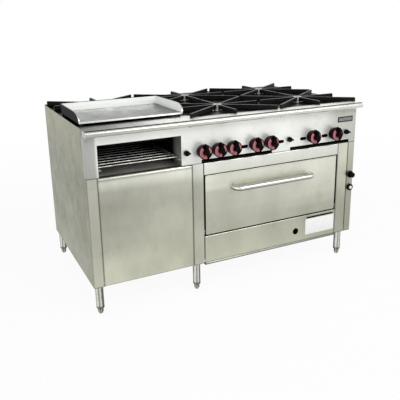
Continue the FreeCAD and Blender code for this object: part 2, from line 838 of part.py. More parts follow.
def make_gas_manifold():
    corner = point(inlet_x, manifold_y, manifold_z)
    inlet_end = point(inlet_x, body_depth + inlet_reach, manifold_z)
    route = [point(manifold_start, manifold_y, manifold_z), corner, inlet_end]
    nipple = rod(inlet_end - y_axis * inlet_nipple, inlet_end, inlet_radius)
    return fused([bent_bar(route, manifold_radius, manifold_bend), nipple])


def make_gas_tubes():
    """Feed tubes from the taps up to the burners' inlets, and round to the broiler's burner."""
    left, middle, right = column_places
    inlets = [left + rear_venturi_offset, left, middle, middle + rear_venturi_offset,
              right, right + rear_venturi_offset]
    start_z = manifold_z + valve_radius
    tubes = []
    for index, (tap, inlet) in enumerate(zip(burner_knob_places, inlets)):
        lane = gas_lanes[index % 2]
        route = [point(tap, lane, start_z), point(tap, lane, venturi_z),
                 point(inlet, lane, venturi_z), point(inlet, venturi_front, venturi_z)]
        tubes.append(mitred_bar(route, gas_tube_radius))
    tap = broiler_knob_place
    side = broiler_x[1] + sheet + broiler_tube_gap
    route = [point(tap, broiler_lane, start_z), point(tap, broiler_lane, broiler_feed_z),
             point(side, broiler_lane, broiler_feed_z), point(side, broiler_feed_y, broiler_feed_z),
             point(broiler_burner_x[1], broiler_feed_y, broiler_feed_z)]
    tubes.append(mitred_bar(route, gas_tube_radius))
    return Part.makeCompound(tubes)


# Knobs

def drop_outline(radius, tip, y):
    """A disc with a pointed tip at its top, as a wire across the front plane."""
    touch = math.acos(radius / tip)
    left = point(-radius * math.sin(touch), y, radius * math.cos(touch))
    right = point(radius * math.sin(touch), y, radius * math.cos(touch))
    top = point(0, y, tip)
    arc = Part.Arc(right, point(0, y, -radius), left).toShape()
    return Part.Wire([arc, Part.LineSegment(left, top).toShape(), Part.LineSegment(top, right).toShape()])


def stem_bore(radius, reach):
    """The bore of a knob at the origin, for a stem that reaches out of the front plane."""
    return rod(point(0, -reach - rest_gap, 0), point(0, 0, 0), radius + pin_clearance)


def make_knob(x):
    back = -knob_panel_gap
    face = back - knob_depth
    outlines = [drop_outline(knob_back_radius, knob_back_tip, back),
                drop_outline(knob_radius, knob_tip, face)]
    body = Part.makeLoft(outlines, True, True)
    groove = Part.makeCylinder(knob_ring_outer, knob_face_recess, point(0, face, 0), y_axis)
    core = Part.makeCylinder(knob_ring_inner, knob_face_recess, point(0, face, 0), y_axis)
    body = body.cut(groove.cut(core))
    grip_outlines = [drop_outline(knob_grip_radius, knob_grip_tip, face + knob_face_recess),
                     drop_outline(knob_grip_radius * knob_grip_scale, knob_grip_tip * knob_grip_scale,
                                  face - knob_grip_height)]
    grip = Part.makeLoft(grip_outlines, True, True)
    bore = stem_bore(stem_radius, stem_reach)
    return fused([body, grip]).cut(bore).translated(point(x, 0, knob_z))


def make_pilot_knob(x):
    back = -knob_panel_gap
    shoulder = back - pilot_depth / 2
    face = back - pilot_depth
    half = pilot_grip_width / 2
    base = rod(point(0, shoulder, 0), point(0, back, 0), pilot_radius)
    bar = block((-pilot_radius, pilot_radius), (face, shoulder), (-half, half))
    grip = bar.common(rod(point(0, face, 0), point(0, shoulder, 0), pilot_radius))
    bore = stem_bore(pilot_stem_radius, pilot_stem_reach)
    return fused([base, grip]).cut(bore).translated(point(x, 0, knob_z))


# Oven controls

def control_z(height):
    return leg_height + height


def make_thermostat():
    half = thermostat_body / 2
    z = control_z(thermostat_height)
    body_x = (control_x - half, control_x + half)
    body = block(body_x, (corner_bend, thermostat_body_depth), (z - half, z + half))
    inside = point(control_x, sheet, z)
    neck = rod(inside, point(control_x, corner_bend, z), thermostat_neck_radius)
    stem = rod(inside, point(control_x, -thermostat_stem_reach, z), stem_radius)
    return fused([body, neck, stem])


def make_thermostat_knob():
    back = -knob_panel_gap
    face = back - thermostat_knob_depth
    skirt = rod(point(0, back - thermostat_skirt, 0), point(0, back, 0), thermostat_knob_radius)
    crown = Part.makeCone(thermostat_crown_front, thermostat_crown_back, thermostat_knob_depth,
                          point(0, face, 0), y_axis)
    bore = stem_bore(stem_radius, thermostat_stem_reach)
    return fused([skirt, crown]).cut(bore).translated(point(control_x, 0, control_z(thermostat_height)))


def make_igniter():
    z = control_z(igniter_height)
    seat = point(control_x, 0, z)
    front = point(control_x, -igniter_bezel_depth, z)
    bezel = rod(front, seat, igniter_bezel_radius)
    barrel = rod(seat, point(control_x, igniter_body_depth, z), igniter_body_radius)
    well = rod(front, point(control_x, igniter_well_depth, z), igniter_button_radius + rest_gap)
    return fused([bezel, barrel]).cut(well)


def make_igniter_button():
    z = control_z(igniter_height)
    back = igniter_well_depth - igniter_travel - rest_gap
    front = point(control_x, -igniter_button_reach, z)
    button = rod(front, point(control_x, back, z), igniter_button_radius)
    front_edges = [edge for edge in button.Edges if edge.BoundBox.YMax < -igniter_bezel_depth]
    return button.makeFillet(igniter_button_radius / 3, front_edges)


# Legs and feet

def make_leg(x, y):
    tube = Part.makeCylinder(leg_radius, leg_height - leg_bottom, point(x, y, leg_bottom))
    collar = Part.makeCylinder(leg_radius + leg_collar, leg_collar_thickness,
                               point(x, y, leg_height - leg_collar_thickness))
    bore = Part.makeCylinder(foot_stud_radius + pin_clearance, foot_stud_length, point(x, y, leg_bottom))
    return fused([tube, collar]).cut(bore)


def make_foot(x, y):
    top = leg_bottom - rest_gap
    profile = [point(0, 0, 0), point(foot_tip_radius, 0, 0),
               point(foot_radius, 0, foot_tip_height), point(foot_radius, 0, top),
               point(foot_stud_radius, 0, top), point(foot_stud_radius, 0, top + foot_stud_length),
               point(0, 0, top + foot_stud_length)]
    face = Part.Face(Part.makePolygon(profile + profile[:1]))
    return face.revolve(point(0, 0, 0), z_axis, 360).translated(point(x, y, 0))


# Places that several pieces share
inlet_x = body_width - inlet_from_right
control_x = body_width - control_from_right
broiler_bottom = panel_bottom + seam
broiler_top = broiler_bottom + broiler_height
broiler_feed_z = broiler_top - broiler_burner_thickness / 2
broiler_feed_y = broiler_depth / 2
broiler_x = (side_flange + broiler_left_margin, cabinet_end - broiler_right_margin)
broiler_burner_x = (broiler_x[0] + broiler_burner_margin, broiler_x[1] - broiler_burner_margin)
tray_bottom = top_rail_top + seam
tray_starts = [oven_start + offset for offset in tray_offsets]
cavity_x = (oven_start + cavity_side, oven_end - cavity_side)
cavity_y = (post_depth, post_depth + cavity_depth)
cavity_z = (door_bottom + cavity_sill, door_bottom + cavity_sill + cavity_height)
door_x = (oven_start + door_side_gap, oven_end - door_side_gap)
hinge_z = door_bottom + hinge_rise
handle_z = door_top - handle_below_top
leg_places = [left_leg_inset, cabinet_end + middle_leg_offset, body_width - right_leg_inset]
leg_rows = (leg_inset, body_depth - leg_inset)

parts = {
    "left_side_panel": make_left_side(),
    "right_side_panel": make_right_side(),
    "back_panel": make_back_panel(),
    "base_pan": make_base_pan(),
    "middle_post": make_middle_post(),
    "right_post": make_post(oven_end, right_post_end),
    "cabinet_panel": make_cabinet_panel(),
    "lower_front_panel": make_lower_front_panel(),
    "oven_top_rail": make_oven_top_rail(),
    "control_panel": make_control_panel(),
    "front_rail": make_front_rail(),
    "cooktop_deck": make_cooktop_deck(),
    "oven_liner": make_oven_liner(),
    "oven_insulation": make_oven_insulation(),
    "oven_floor": make_oven_floor(),
    "oven_burner": make_oven_burner(),
    "oven_rack": make_oven_rack(),
    "door_outer": make_door_outer(),
    "door_inner": make_door_inner(),
    "door_handle": make_door_handle(),
    "door_hinges": make_door_hinges(),
    "broiler_liner": make_broiler_liner(),
    "broiler_burner": make_broiler_burner(),
    "broiler_rack": make_broiler_rack(),
    "inner_supports": Part.makeCompound(make_burner_supports() + [make_tray_shelf()]),
    "griddle": make_griddle(),
    "gas_manifold": make_gas_manifold(),
    "gas_valves": make_gas_valves(),
    "gas_tubes": make_gas_tubes(),
    "thermostat": make_thermostat(),
    "thermostat_knob": make_thermostat_knob(),
    "igniter": make_igniter(),
    "igniter_button": make_igniter_button(),
    "burner_bodies": Part.makeCompound([make_burner_body(x, row) for x in column_places for row in (0, 1)]),
    "burner_heads": Part.makeCompound([make_burner_head(x, y) for x in column_places for y in row_places]),
    "legs": Part.makeCompound([make_leg(x, y) for x in leg_places for y in leg_rows]),
}

# The griddle stands on the deck in place of one trivet
griddle_seat = ("front", "left")

for side, start, width in zip(("left", "right"), tray_starts, tray_widths):
    parts["drip_tray_" + side] = make_drip_tray(start, width)

for row_name, y in zip(("front", "rear"), row_places):
    for column_name, x in zip(("left", "middle", "right"), column_places):
        if (row_name, column_name) != griddle_seat:
            parts["trivet_" + row_name + "_" + column_name] = make_trivet(x, y)

for number, x in enumerate(knob_places, start=1):
    parts["knob_" + str(number)] = make_knob(x)

for number, x in enumerate(pilot_places, start=1):
    parts["pilot_knob_" + str(number)] = make_pilot_knob(x)

for row_name, y in zip(("front", "rear"), leg_rows):
    for column_name, x in zip(("left", "middle", "right"), leg_places):
        parts["foot_" + row_name + "_" + column_name] = make_foot(x, y)

# The object's front is its knobs or its handle, and its back is the gas inlet
knob_front = -(knob_panel_gap + knob_depth + knob_grip_height)
front_limit = min(knob_front, -handle_standoff - handle_radius)
back_limit = body_depth + inlet_reach
origin = point(body_width / 2, (front_limit + back_limit) / 2, 0)

os.makedirs("parts", exist_ok=True)
for name, shape in parts.items():
    shape.translated(-origin).exportStep(os.path.join("parts", name + ".step"))
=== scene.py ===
import math

import bmesh
import bpy
from mathutils import Matrix, Vector


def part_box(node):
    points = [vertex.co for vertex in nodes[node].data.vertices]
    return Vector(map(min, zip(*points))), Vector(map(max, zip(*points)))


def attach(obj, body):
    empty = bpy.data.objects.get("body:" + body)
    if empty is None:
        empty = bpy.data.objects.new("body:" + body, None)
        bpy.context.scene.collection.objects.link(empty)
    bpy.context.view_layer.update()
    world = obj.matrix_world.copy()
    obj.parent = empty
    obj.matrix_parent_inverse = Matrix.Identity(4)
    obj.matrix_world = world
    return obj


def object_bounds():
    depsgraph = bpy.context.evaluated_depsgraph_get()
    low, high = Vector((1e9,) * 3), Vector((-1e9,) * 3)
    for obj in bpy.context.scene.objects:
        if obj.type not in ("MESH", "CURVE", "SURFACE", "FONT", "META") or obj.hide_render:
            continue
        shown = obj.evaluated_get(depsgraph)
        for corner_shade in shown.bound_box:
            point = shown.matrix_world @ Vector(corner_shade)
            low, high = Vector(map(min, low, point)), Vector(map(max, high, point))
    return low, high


# The looks of a free-standing gas range in stainless sheet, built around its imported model.
# Metres, in the model's own frame: +X to the right seen from the front, +Y to the back, +Z up.

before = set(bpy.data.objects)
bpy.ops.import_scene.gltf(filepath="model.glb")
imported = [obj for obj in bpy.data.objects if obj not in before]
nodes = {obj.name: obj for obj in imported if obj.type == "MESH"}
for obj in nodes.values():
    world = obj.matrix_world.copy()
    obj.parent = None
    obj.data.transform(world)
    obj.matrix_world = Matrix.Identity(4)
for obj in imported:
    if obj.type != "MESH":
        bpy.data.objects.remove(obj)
cad_low, cad_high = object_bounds()

# Camera, solved on the photograph's straight edges
image_size = 400.0
sensor_width = 36.0
focal_pixels = 536.59
principal_pixel = (201.91, 166.87)
camera_place = Vector((-1.28257, -2.60144, 1.32763))
camera_right = Vector((0.89453, -0.44673, -0.01603))
camera_up = Vector((0.13350, 0.23275, 0.96333))
camera_reach = 100.0

# Steel sheet, with painted light and reflection: stops from the floor up, each a height, a brightness and a
# warm lean of the tint. The cabinet panel's lip is painted dark at its top, as painted shade.
cabinet_left_tones = ((0.14, 0.66, 0.20), (0.22, 0.63, 0.20), (0.35, 0.43, 0.18), (0.42, 0.37, 0.17),
                      (0.52, 0.345, 0.17), (0.58, 0.39, 0.16), (0.635, 0.64, 0.12), (0.65, 0.34, 0.14),
                      (0.662, 0.20, 0.14))
cabinet_right_tones = ((0.14, 0.52, 0.20), (0.27, 0.51, 0.20), (0.42, 0.53, 0.18), (0.50, 0.51, 0.17),
                       (0.57, 0.56, 0.15), (0.635, 0.86, 0.12), (0.65, 0.50, 0.14), (0.662, 0.20, 0.14))
post_tones = ((0.14, 0.56, 0.18), (0.28, 0.52, 0.18), (0.42, 0.43, 0.17), (0.55, 0.45, 0.15),
              (0.62, 0.68, 0.11), (0.68, 0.78, 0.10))
right_post_tones = ((0.14, 0.40, 0.20), (0.30, 0.37, 0.20), (0.48, 0.55, 0.18), (0.60, 0.64, 0.16),
                    (0.68, 0.66, 0.12))
door_left_tones = ((0.28, 0.46, 0.17), (0.36, 0.47, 0.17), (0.43, 0.50, 0.16), (0.50, 0.53, 0.16),
                   (0.535, 0.71, 0.15), (0.585, 0.75, 0.14), (0.60, 0.62, 0.15))
door_right_tones = ((0.28, 0.44, 0.18), (0.325, 0.45, 0.18), (0.37, 0.56, 0.17), (0.42, 0.66, 0.15),
                    (0.50, 0.70, 0.15), (0.585, 0.72, 0.14), (0.60, 0.60, 0.14))
lower_tones = ((0.128, 0.24, 0.18), (0.137, 0.22, 0.18), (0.143, 0.16, 0.18), (0.147, 0.55, 0.21),
               (0.20, 0.52, 0.20), (0.28, 0.49, 0.18), (0.29, 0.40, 0.18))
top_rail_tones = ((0.59, 0.74, 0.11), (0.66, 0.82, 0.08))
control_tones = ((0.66, 0.92, 0.05), (0.75, 0.99, 0.05), (0.80, 1.0, 0.05), (0.85, 1.0, 0.05))
control_right_tones = ((0.66, 0.72, 0.11), (0.75, 0.76, 0.10), (0.85, 0.72, 0.10))
rail_tones = ((0.85, 0.71, 0.09), (0.88, 0.64, 0.08))
side_tones = ((0.14, 0.33, 0.25), (0.36, 0.275, 0.26), (0.60, 0.25, 0.26), (0.88, 0.34, 0.28))
# The sides' faces to the front are painted lighter than the sides, as painted light
left_flange_tones = ((0.14, 0.56, 0.20), (0.40, 0.44, 0.17), (0.68, 0.49, 0.14), (0.85, 0.60, 0.08))
right_flange_tones = ((0.14, 0.36, 0.22), (0.40, 0.38, 0.20), (0.68, 0.54, 0.16))
deck_tones = ((0.87, 0.86, 0.05), (0.89, 0.86, 0.05))
# The deck's faces to the front are near black: a painted shade line along its front edge
deck_front_tones = ((0.87, 0.04, 0.05), (0.89, 0.04, 0.05))
burner_tones = ((0.84, 0.70, 0.06), (0.88, 0.78, 0.06))

# Shares of that brightness along an axis, as the room falls on the sheet: painted light and shade
control_shares = ((-0.75, 0.45), (-0.705, 0.47), (-0.700, 0.88), (-0.42, 0.94), (-0.20, 0.95), (0.10, 1.0),
                  (0.52, 1.0), (0.62, 0.78), (0.75, 0.72))
rail_shares = ((-0.75, 0.70), (-0.30, 0.86), (0.0, 0.95), (0.75, 1.0))
lower_shares = ((-0.18, 1.0), (0.38, 0.93), (0.46, 0.82), (0.63, 0.82))
top_rail_shares = ((-0.18, 1.0), (0.63, 0.91))
deck_shares = ((-0.43, 1.0), (-0.385, 1.0), (-0.345, 0.36), (-0.10, 0.29), (0.43, 0.26))
deck_left_shares = ((-0.75, 0.26), (-0.65, 0.36), (-0.54, 0.58), (-0.43, 0.88), (-0.34, 1.0))
griddle_shares = ((-0.74, 0.98), (-0.60, 1.0), (-0.42, 0.92), (-0.36, 0.77), (-0.31, 0.56), (-0.25, 0.39))
wire_shares = ((-0.38, 1.0), (-0.24, 0.75), (-0.08, 0.28), (0.26, 0.2))

# The deck is darker but for a bright strip along its front: painted shade and reflection of the trivets.
# The shares, from front to back, hold back how far it brightens at a low angle. The strip is dull: its
# roughness ends within a range. In front of the griddle, to the left of a range, the strip is wider by a
# shift.
deck_edge_shares = ((-0.43, 1.0), (-0.385, 0.95), (-0.345, 0.32), (0.43, 0.25))
deck_dull_strip = ((-0.385, -0.335), 0.5)
deck_left_shift = ((-0.23, -0.19), 0.06)

# Tubes carry painted reflections of their surroundings in bands: stops round the tube, each a direction and a
# brightness. Those of the legs run along a level axis, those of the handle upwards. The legs are darker low
# down, at their feet, with a line of painted shade where the tube meets the foot.
leg_band_axis = (0.89, -0.45, 0.0)
leg_bands = ((-1.0, 0.10), (-0.84, 0.16), (-0.62, 0.75), (-0.30, 0.95), (-0.08, 0.45), (0.12, 0.34),
             (0.30, 0.72), (0.52, 0.85), (0.70, 0.25), (0.86, 0.10), (1.0, 0.22))
leg_shares = ((0.0, 0.55), (0.012, 0.62), (0.026, 0.45), (0.030, 0.25), (0.036, 0.35), (0.044, 1.0),
              (0.14, 1.0))
handle_bands = ((-1.0, 0.08), (-0.78, 0.10), (-0.50, 0.24), (-0.15, 0.44), (0.15, 0.66), (0.45, 0.80),
                (0.75, 0.50), (1.0, 0.22))

# Grime and painted shade along a seam: a range of distances off it, over which the share of brightness left
# rises
seam_grime_and_shade = ((0.001, 0.006), (0.45, 1.0))

# Ranges of noise, which lies around 0.5: nearly all of it, its middle, and its middle and upper part
wide_noise = (0.3, 0.7)
middle_noise = (0.35, 0.65)
upper_noise = (0.35, 0.7)

# Ranges of one axis of a face's direction, over which the face comes to look to the front, up or down
facing_front = (-0.5, -0.9)
facing_up = (0.5, 0.9)
facing_down = (-0.5, -0.8)

# Wear of brushed sheet: scales of its noises for each metre, the ranges of them that show, and how far
# streaks and fingermarks darken it
smear_scale = (7.0, 7.0, 3.6)
smear_range = (0.32, 0.68)
streak_depth = 0.05
mark_scale = 14.0
mark_range = (0.55, 0.75)
mark_depth = 0.08

# Roughness of the sheets
front_roughness = 0.34
door_roughness = 0.33
control_roughness = 0.36
rail_roughness = 0.30
side_roughness = 0.40
deck_roughness = 0.16
burner_roughness = 0.26

# The griddle: the height of its feet and over how much of it they blacken, the painted shade in the corner
# before its back wall as two distances from the back and a share, how far from its middle a face that looks
# outward lies, and how far it brightens at a low angle
griddle_foot_height = 0.013
griddle_foot_blend = 0.001
griddle_corner_shade = (0.030, 0.012, 0.25)
griddle_outward = (0.10, 0.14)
griddle_edge_tint = (0.62, 0.62, 0.62, 1.0)

# A trivet's bright hub ends between these two distances from its middle
hub_reach = (0.0222, 0.0232)

# Other colours, linear
# The black of soot, and of painted shade deep inside
soot_and_shade_color = (0.003, 0.003, 0.003)
liner_color = (0.34, 0.33, 0.30)
broiler_color = (0.66, 0.65, 0.60)
tray_color = (0.07, 0.07, 0.067)
leg_color = (0.80, 0.80, 0.72)
handle_color = (0.98, 0.98, 0.93)
heat_color = (0.11, 0.08, 0.05)
wire_color = (0.62, 0.62, 0.60)
wire_stain_color = (0.22, 0.18, 0.13)
iron_color = (0.004, 0.004, 0.004)
# Paler tops of the trivets: wear and a painted highlight
iron_worn_and_lit_color = (0.21, 0.21, 0.205)
hub_color = (0.62, 0.62, 0.60)
griddle_color = (0.48, 0.495, 0.475)
# The griddle's walls, near white as painted light
griddle_wall_color = (0.97, 0.98, 0.95)
griddle_stain_color = (0.74, 0.74, 0.74)
griddle_wall_stain_color = (0.94, 0.94, 0.94)
griddle_scratch_color = (0.90, 0.90, 0.90)
carbon_color = (0.022, 0.022, 0.021)
plastic_color = (0.004, 0.0045, 0.0045)
inlay_color = (0.58, 0.19, 0.21)
white_color = (0.80, 0.80, 0.78)
label_color = (0.96, 0.96, 0.96)
badge_color = (0.26, 0.27, 0.26)
badge_border_color = (0.05, 0.055, 0.055)
brass_color = (0.60, 0.42, 0.16)
pipe_color = (0.07, 0.07, 0.07)
screw_color = (0.45, 0.45, 0.42)
wool_color = (0.62, 0.52, 0.30)
floor_color = (0.88, 0.88, 0.88)
pure_white = (1.0, 1.0, 1.0, 1.0)

# The floor's size, and its own white: a range of distances from the middle, over which its share rises
floor_size = 80.0
floor_glow = ((1.5, 4.0), (0.94, 1.0))

# Light from the room, and the strength at which it shows as a white background
room_strength = 0.45
background_strength = 1.0

# Softboxes: name, place, point aimed at, width and height, power
softboxes = (
    ("key", (1.6, -3.2, 3.4), (0.0, 0.0, 0.6), (2.6, 2.0), 90.0),
    ("fill", (-3.4, -1.6, 2.2), (0.0, 0.0, 0.5), (2.0, 2.0), 25.0),
)


# Node helpers

def new_material(name):
    """A material with its tree and shader at hand."""
    material = bpy.data.materials.new(name)
    material.use_nodes = True
    tree = material.node_tree
    shader = tree.nodes["Principled BSDF"]
    return material, tree, shader


def object_coords(tree, scale=(1.0, 1.0, 1.0)):
    """Object coordinates, stretched by a scale for each axis."""
    coords = tree.nodes.new("ShaderNodeTexCoord")
    mapping = tree.nodes.new("ShaderNodeMapping")
    mapping.inputs["Scale"].default_value = scale
    tree.links.new(coords.outputs["Object"], mapping.inputs["Vector"])
    return mapping.outputs["Vector"]


def axis_value(tree, vector, axis):
    """One axis of a vector."""
    node = tree.nodes.new("ShaderNodeSeparateXYZ")
    tree.links.new(vector, node.inputs["Vector"])
    return node.outputs[axis]


def surface_normal(tree):
    """The surface's direction, smoothed over round pieces."""
    return tree.nodes.new("ShaderNodeNewGeometry").outputs["Normal"]


def face_direction(tree):
    """The direction of the surface's own faces."""
    return tree.nodes.new("ShaderNodeNewGeometry").outputs["True Normal"]


def face_normal(tree, axis):
    """One axis of the direction of the surface's own faces."""
    return axis_value(tree, face_direction(tree), axis)


def noise(tree, vector, scale=1.0, detail=4.0, rough=0.6):
    """Fractal noise around 0.5."""
    node = tree.nodes.new("ShaderNodeTexNoise")
    node.inputs["Scale"].default_value = scale
    node.inputs["Detail"].default_value = detail
    node.inputs["Roughness"].default_value = rough
    tree.links.new(vector, node.inputs["Vector"])
    return node.outputs["Fac"]


def mapped(tree, value, source, target=(0.0, 1.0)):
    """A value moved from one range to another, and held within it."""
    node = tree.nodes.new("ShaderNodeMapRange")
    node.inputs["From Min"].default_value = source[0]
    node.inputs["From Max"].default_value = source[1]
    node.inputs["To Min"].default_value = target[0]
    node.inputs["To Max"].default_value = target[1]
    tree.links.new(value, node.inputs["Value"])
    return node.outputs["Result"]


def math_node(tree, operation, first, second):
    """One sum on two values; the second may be a plain number."""
    node = tree.nodes.new("ShaderNodeMath")
    node.operation = operation
    tree.links.new(first, node.inputs[0])
    if isinstance(second, float):
        node.inputs[1].default_value = second
    else:
        tree.links.new(second, node.inputs[1])
    return node.outputs["Value"]


def vector_math(tree, operation, first, second):
    """One sum on two vectors; the second may be a plain one."""
    node = tree.nodes.new("ShaderNodeVectorMath")
    node.operation = operation
    tree.links.new(first, node.inputs[0])
    if isinstance(second, bpy.types.NodeSocket):
        tree.links.new(second, node.inputs[1])
    else:
        node.inputs[1].default_value = second
    return node.outputs["Value" if operation == "DOT_PRODUCT" else "Vector"]


def level_distance(tree, vector, centre):
    """How far a point is from a centre, seen from above."""
    offset = vector_math(tree, "SUBTRACT", vector, centre)
    level = vector_math(tree, "MULTIPLY", offset, (1.0, 1.0, 0.0))
    length = tree.nodes.new("ShaderNodeVectorMath")
    length.operation = "LENGTH"
    tree.links.new(level, length.inputs[0])
    return length.outputs["Value"]


def mixed(tree, factor, first, second, blend_type="MIX"):
    """A colour between two, each a plain colour or a socket."""
    node = tree.nodes.new("ShaderNodeMix")
    node.data_type = "RGBA"
    node.blend_type = blend_type
    if isinstance(factor, float):
        node.inputs["Factor"].default_value = factor
    else:
        tree.links.new(factor, node.inputs["Factor"])
    for value, socket in ((first, node.inputs["A"]), (second, node.inputs["B"])):
        if isinstance(value, tuple):
            socket.default_value = (*value, 1.0)
        else:
            tree.links.new(value, socket)
    return node.outputs["Result"]


def scaled(tree, first, second):
    """A colour times another, each a plain colour or a socket."""
    return mixed(tree, 1.0, first, second, "MULTIPLY")


def shaded(color, share):
    """A plain colour times a number."""
    return tuple(channel * share for channel in color)


def steel_tone(level, warmth):
    """A steel colour, by its brightness and how far it leans to a warm green."""
    red_share = 0.99
    return (red_share * level, level, level * (1 - warmth))


def color_ramp(tree, value, stops):
    """A colour that passes through stops, each a place and a colour."""
    first = stops[0][0]
    span = stops[-1][0] - first
    node = tree.nodes.new("ShaderNodeValToRGB")
    node.color_ramp.interpolation = "EASE"
    elements = node.color_ramp.elements
    elements.remove(elements[1])
    elements[0].position = 0.0
    elements[0].color = (*stops[0][1], 1.0)
    for place, color in stops[1:]:
        element = elements.new((place - first) / span)
        element.color = (*color, 1.0)
    tree.links.new(mapped(tree, value, (first, first + span)), node.inputs["Fac"])
    return node.outputs["Color"]


def tone_ramp(tree, value, tones):
    """A steel colour that passes through stops, each a place, a brightness and a warm lean."""
    return color_ramp(tree, value, [(place, steel_tone(level, warmth)) for place, level, warmth in tones])


def share_ramp(tree, value, shares):
    """A grey share that passes through stops, each a place and a level."""
    return color_ramp(tree, value, [(place, (level, level, level)) for place, level in shares])


def spread(value, below, above):
    """A range around a value."""
    return (value - below, value + above)


def bumped(tree, shader, height, strength, distance):
    """Fine relief on the surface from a height."""
    node = tree.nodes.new("ShaderNodeBump")
    node.inputs["Strength"].default_value = strength
    node.inputs["Distance"].default_value = distance
    tree.links.new(height, node.inputs["Height"])
    tree.links.new(node.outputs["Normal"], shader.inputs["Normal"])


# Materials

def sheet_material(name, tones, roughness, grain, smudge=0.12, front_tones=None, right=None, shares=(),
                   seams=(), metallic=1.0, edge_shares=None, dull_strip=None, left_shift=None):
    """Brushed sheet: a tone that shifts with height, as painted light and reflection, streaks along the
    grain, smears from wiping and duller fingermarks. Faces to the front may have tones of their own, as
    painted light.
    The tones may pass into others over a range from left to right, and may be scaled by shares along axes, as
    painted light and shade. Grime and painted shade gather along the seams. Edge shares, from front to back,
    hold back the brightening of the sheet at a low angle, and a strip along the front may be duller: over a
    range its roughness falls to that of the rest. To the left of a range, what runs from front to back may be
    shifted back."""
    material, tree, shader = new_material(name)
    plain = object_coords(tree)
    places = {axis: axis_value(tree, plain, axis) for axis in "XYZ"}
    height = places["Z"]
    if left_shift:
        shift_range, shift = left_shift
        shifted = mapped(tree, places["X"], shift_range, (-shift, 0.0))
        places["Y"] = math_node(tree, "ADD", places["Y"], shifted)
    streaks = noise(tree, object_coords(tree, grain), detail=3.0)
    smears = noise(tree, object_coords(tree, smear_scale), rough=0.5)
    marks = noise(tree, plain, mark_scale, detail=5.0, rough=0.62)
    tone = tone_ramp(tree, height, tones)
    if front_tones:
        to_front = mapped(tree, face_normal(tree, "Y"), facing_front)
        tone = mixed(tree, to_front, tone, tone_ramp(tree, height, front_tones))
    if right:
        right_tones, right_range = right
        rightness = mapped(tree, places["X"], right_range)
        tone = mixed(tree, rightness, tone, tone_ramp(tree, height, right_tones))
    for axis, stops in shares:
        tone = scaled(tree, tone, share_ramp(tree, places[axis], stops))
    # Grime and painted shade along each seam
    for axis, place in seams:
        offset = math_node(tree, "SUBTRACT", places[axis], place)
        away = math_node(tree, "ABSOLUTE", offset, 0.0)
        tone = scaled(tree, tone, mapped(tree, away, *seam_grime_and_shade))
    tone = scaled(tree, tone, mapped(tree, smears, smear_range, spread(1.0, smudge, smudge)))
    tone = scaled(tree, tone, mapped(tree, streaks, middle_noise, (1.0, 1 - streak_depth)))
    tone = scaled(tree, tone, mapped(tree, marks, mark_range, (1.0, 1 - mark_depth)))
    tree.links.new(tone, shader.inputs["Base Color"])
    shader.inputs["Metallic"].default_value = metallic
    rough = mapped(tree, marks, upper_noise, spread(roughness, below=0.05, above=0.09))
    if edge_shares:
        edge = share_ramp(tree, places["Y"], edge_shares)
        tree.links.new(edge, shader.inputs["Specular Tint"])
    if dull_strip:
        strip_range, strip_roughness = dull_strip
        strip = mapped(tree, places["Y"], strip_range, (strip_roughness, 0.0))
        rough = math_node(tree, "MAXIMUM", rough, strip)
    tree.links.new(rough, shader.inputs["Roughness"])
    bumped(tree, shader, streaks, strength=0.10, distance=0.0004)
    return material


def leg_material():
    """Scuffed bright tube: upright bands of light and dark round it, broken along its height."""
    scuff_range = (0.5, 0.7)
    scuff_share = 0.25
    scuff_level = 0.25
    waver_reach = 0.09
    roughness_range = (0.16, 0.34)
    material, tree, shader = new_material("leg_steel")
    plain = object_coords(tree)
    scuffs = noise(tree, plain, scale=90.0)
    around = vector_math(tree, "DOT_PRODUCT", surface_normal(tree), leg_band_axis)
    waves = noise(tree, plain, scale=22.0, detail=3.0)
    waver = mapped(tree, waves, wide_noise, (-waver_reach, waver_reach))
    place = math_node(tree, "ADD", around, waver)
    tone = scaled(tree, share_ramp(tree, place, leg_bands), leg_color)
    # Darker at the feet, with a line of painted shade where the tube meets the foot
    painted_light_share = share_ramp(tree, axis_value(tree, plain, "Z"), leg_shares)
    tone = scaled(tree, tone, painted_light_share)
    scuffed = mapped(tree, scuffs, scuff_range, (0.0, scuff_share))
    tone = mixed(tree, scuffed, tone, shaded(leg_color, scuff_level))
    tree.links.new(tone, shader.inputs["Base Color"])
    shader.inputs["Metallic"].default_value = 1.0
    tree.links.new(mapped(tree, scuffs, wide_noise, roughness_range), shader.inputs["Roughness"])
    return material


def handle_material():
    """Satin tube along the front: lit from above, dark below."""
    grain = (12.0, 600.0, 600.0)
    rubbed_shares = (0.96, 1.02)
    roughness_range = (0.30, 0.36)
    material, tree, shader = new_material("handle_steel")
    streaks = noise(tree, object_coords(tree, grain), detail=3.0)
    rubbed = noise(tree, object_coords(tree), scale=26.0)
    bands = share_ramp(tree, axis_value(tree, surface_normal(tree), "Z"), handle_bands)
    tone = scaled(tree, bands, handle_color)
    tone = scaled(tree, tone, mapped(tree, rubbed, middle_noise, rubbed_shares))
    tree.links.new(tone, shader.inputs["Base Color"])
    shader.inputs["Metallic"].default_value = 1.0
    tree.links.new(mapped(tree, rubbed, wide_noise, roughness_range), shader.inputs["Roughness"])
    bumped(tree, shader, streaks, strength=0.08, distance=0.0003)
    return material


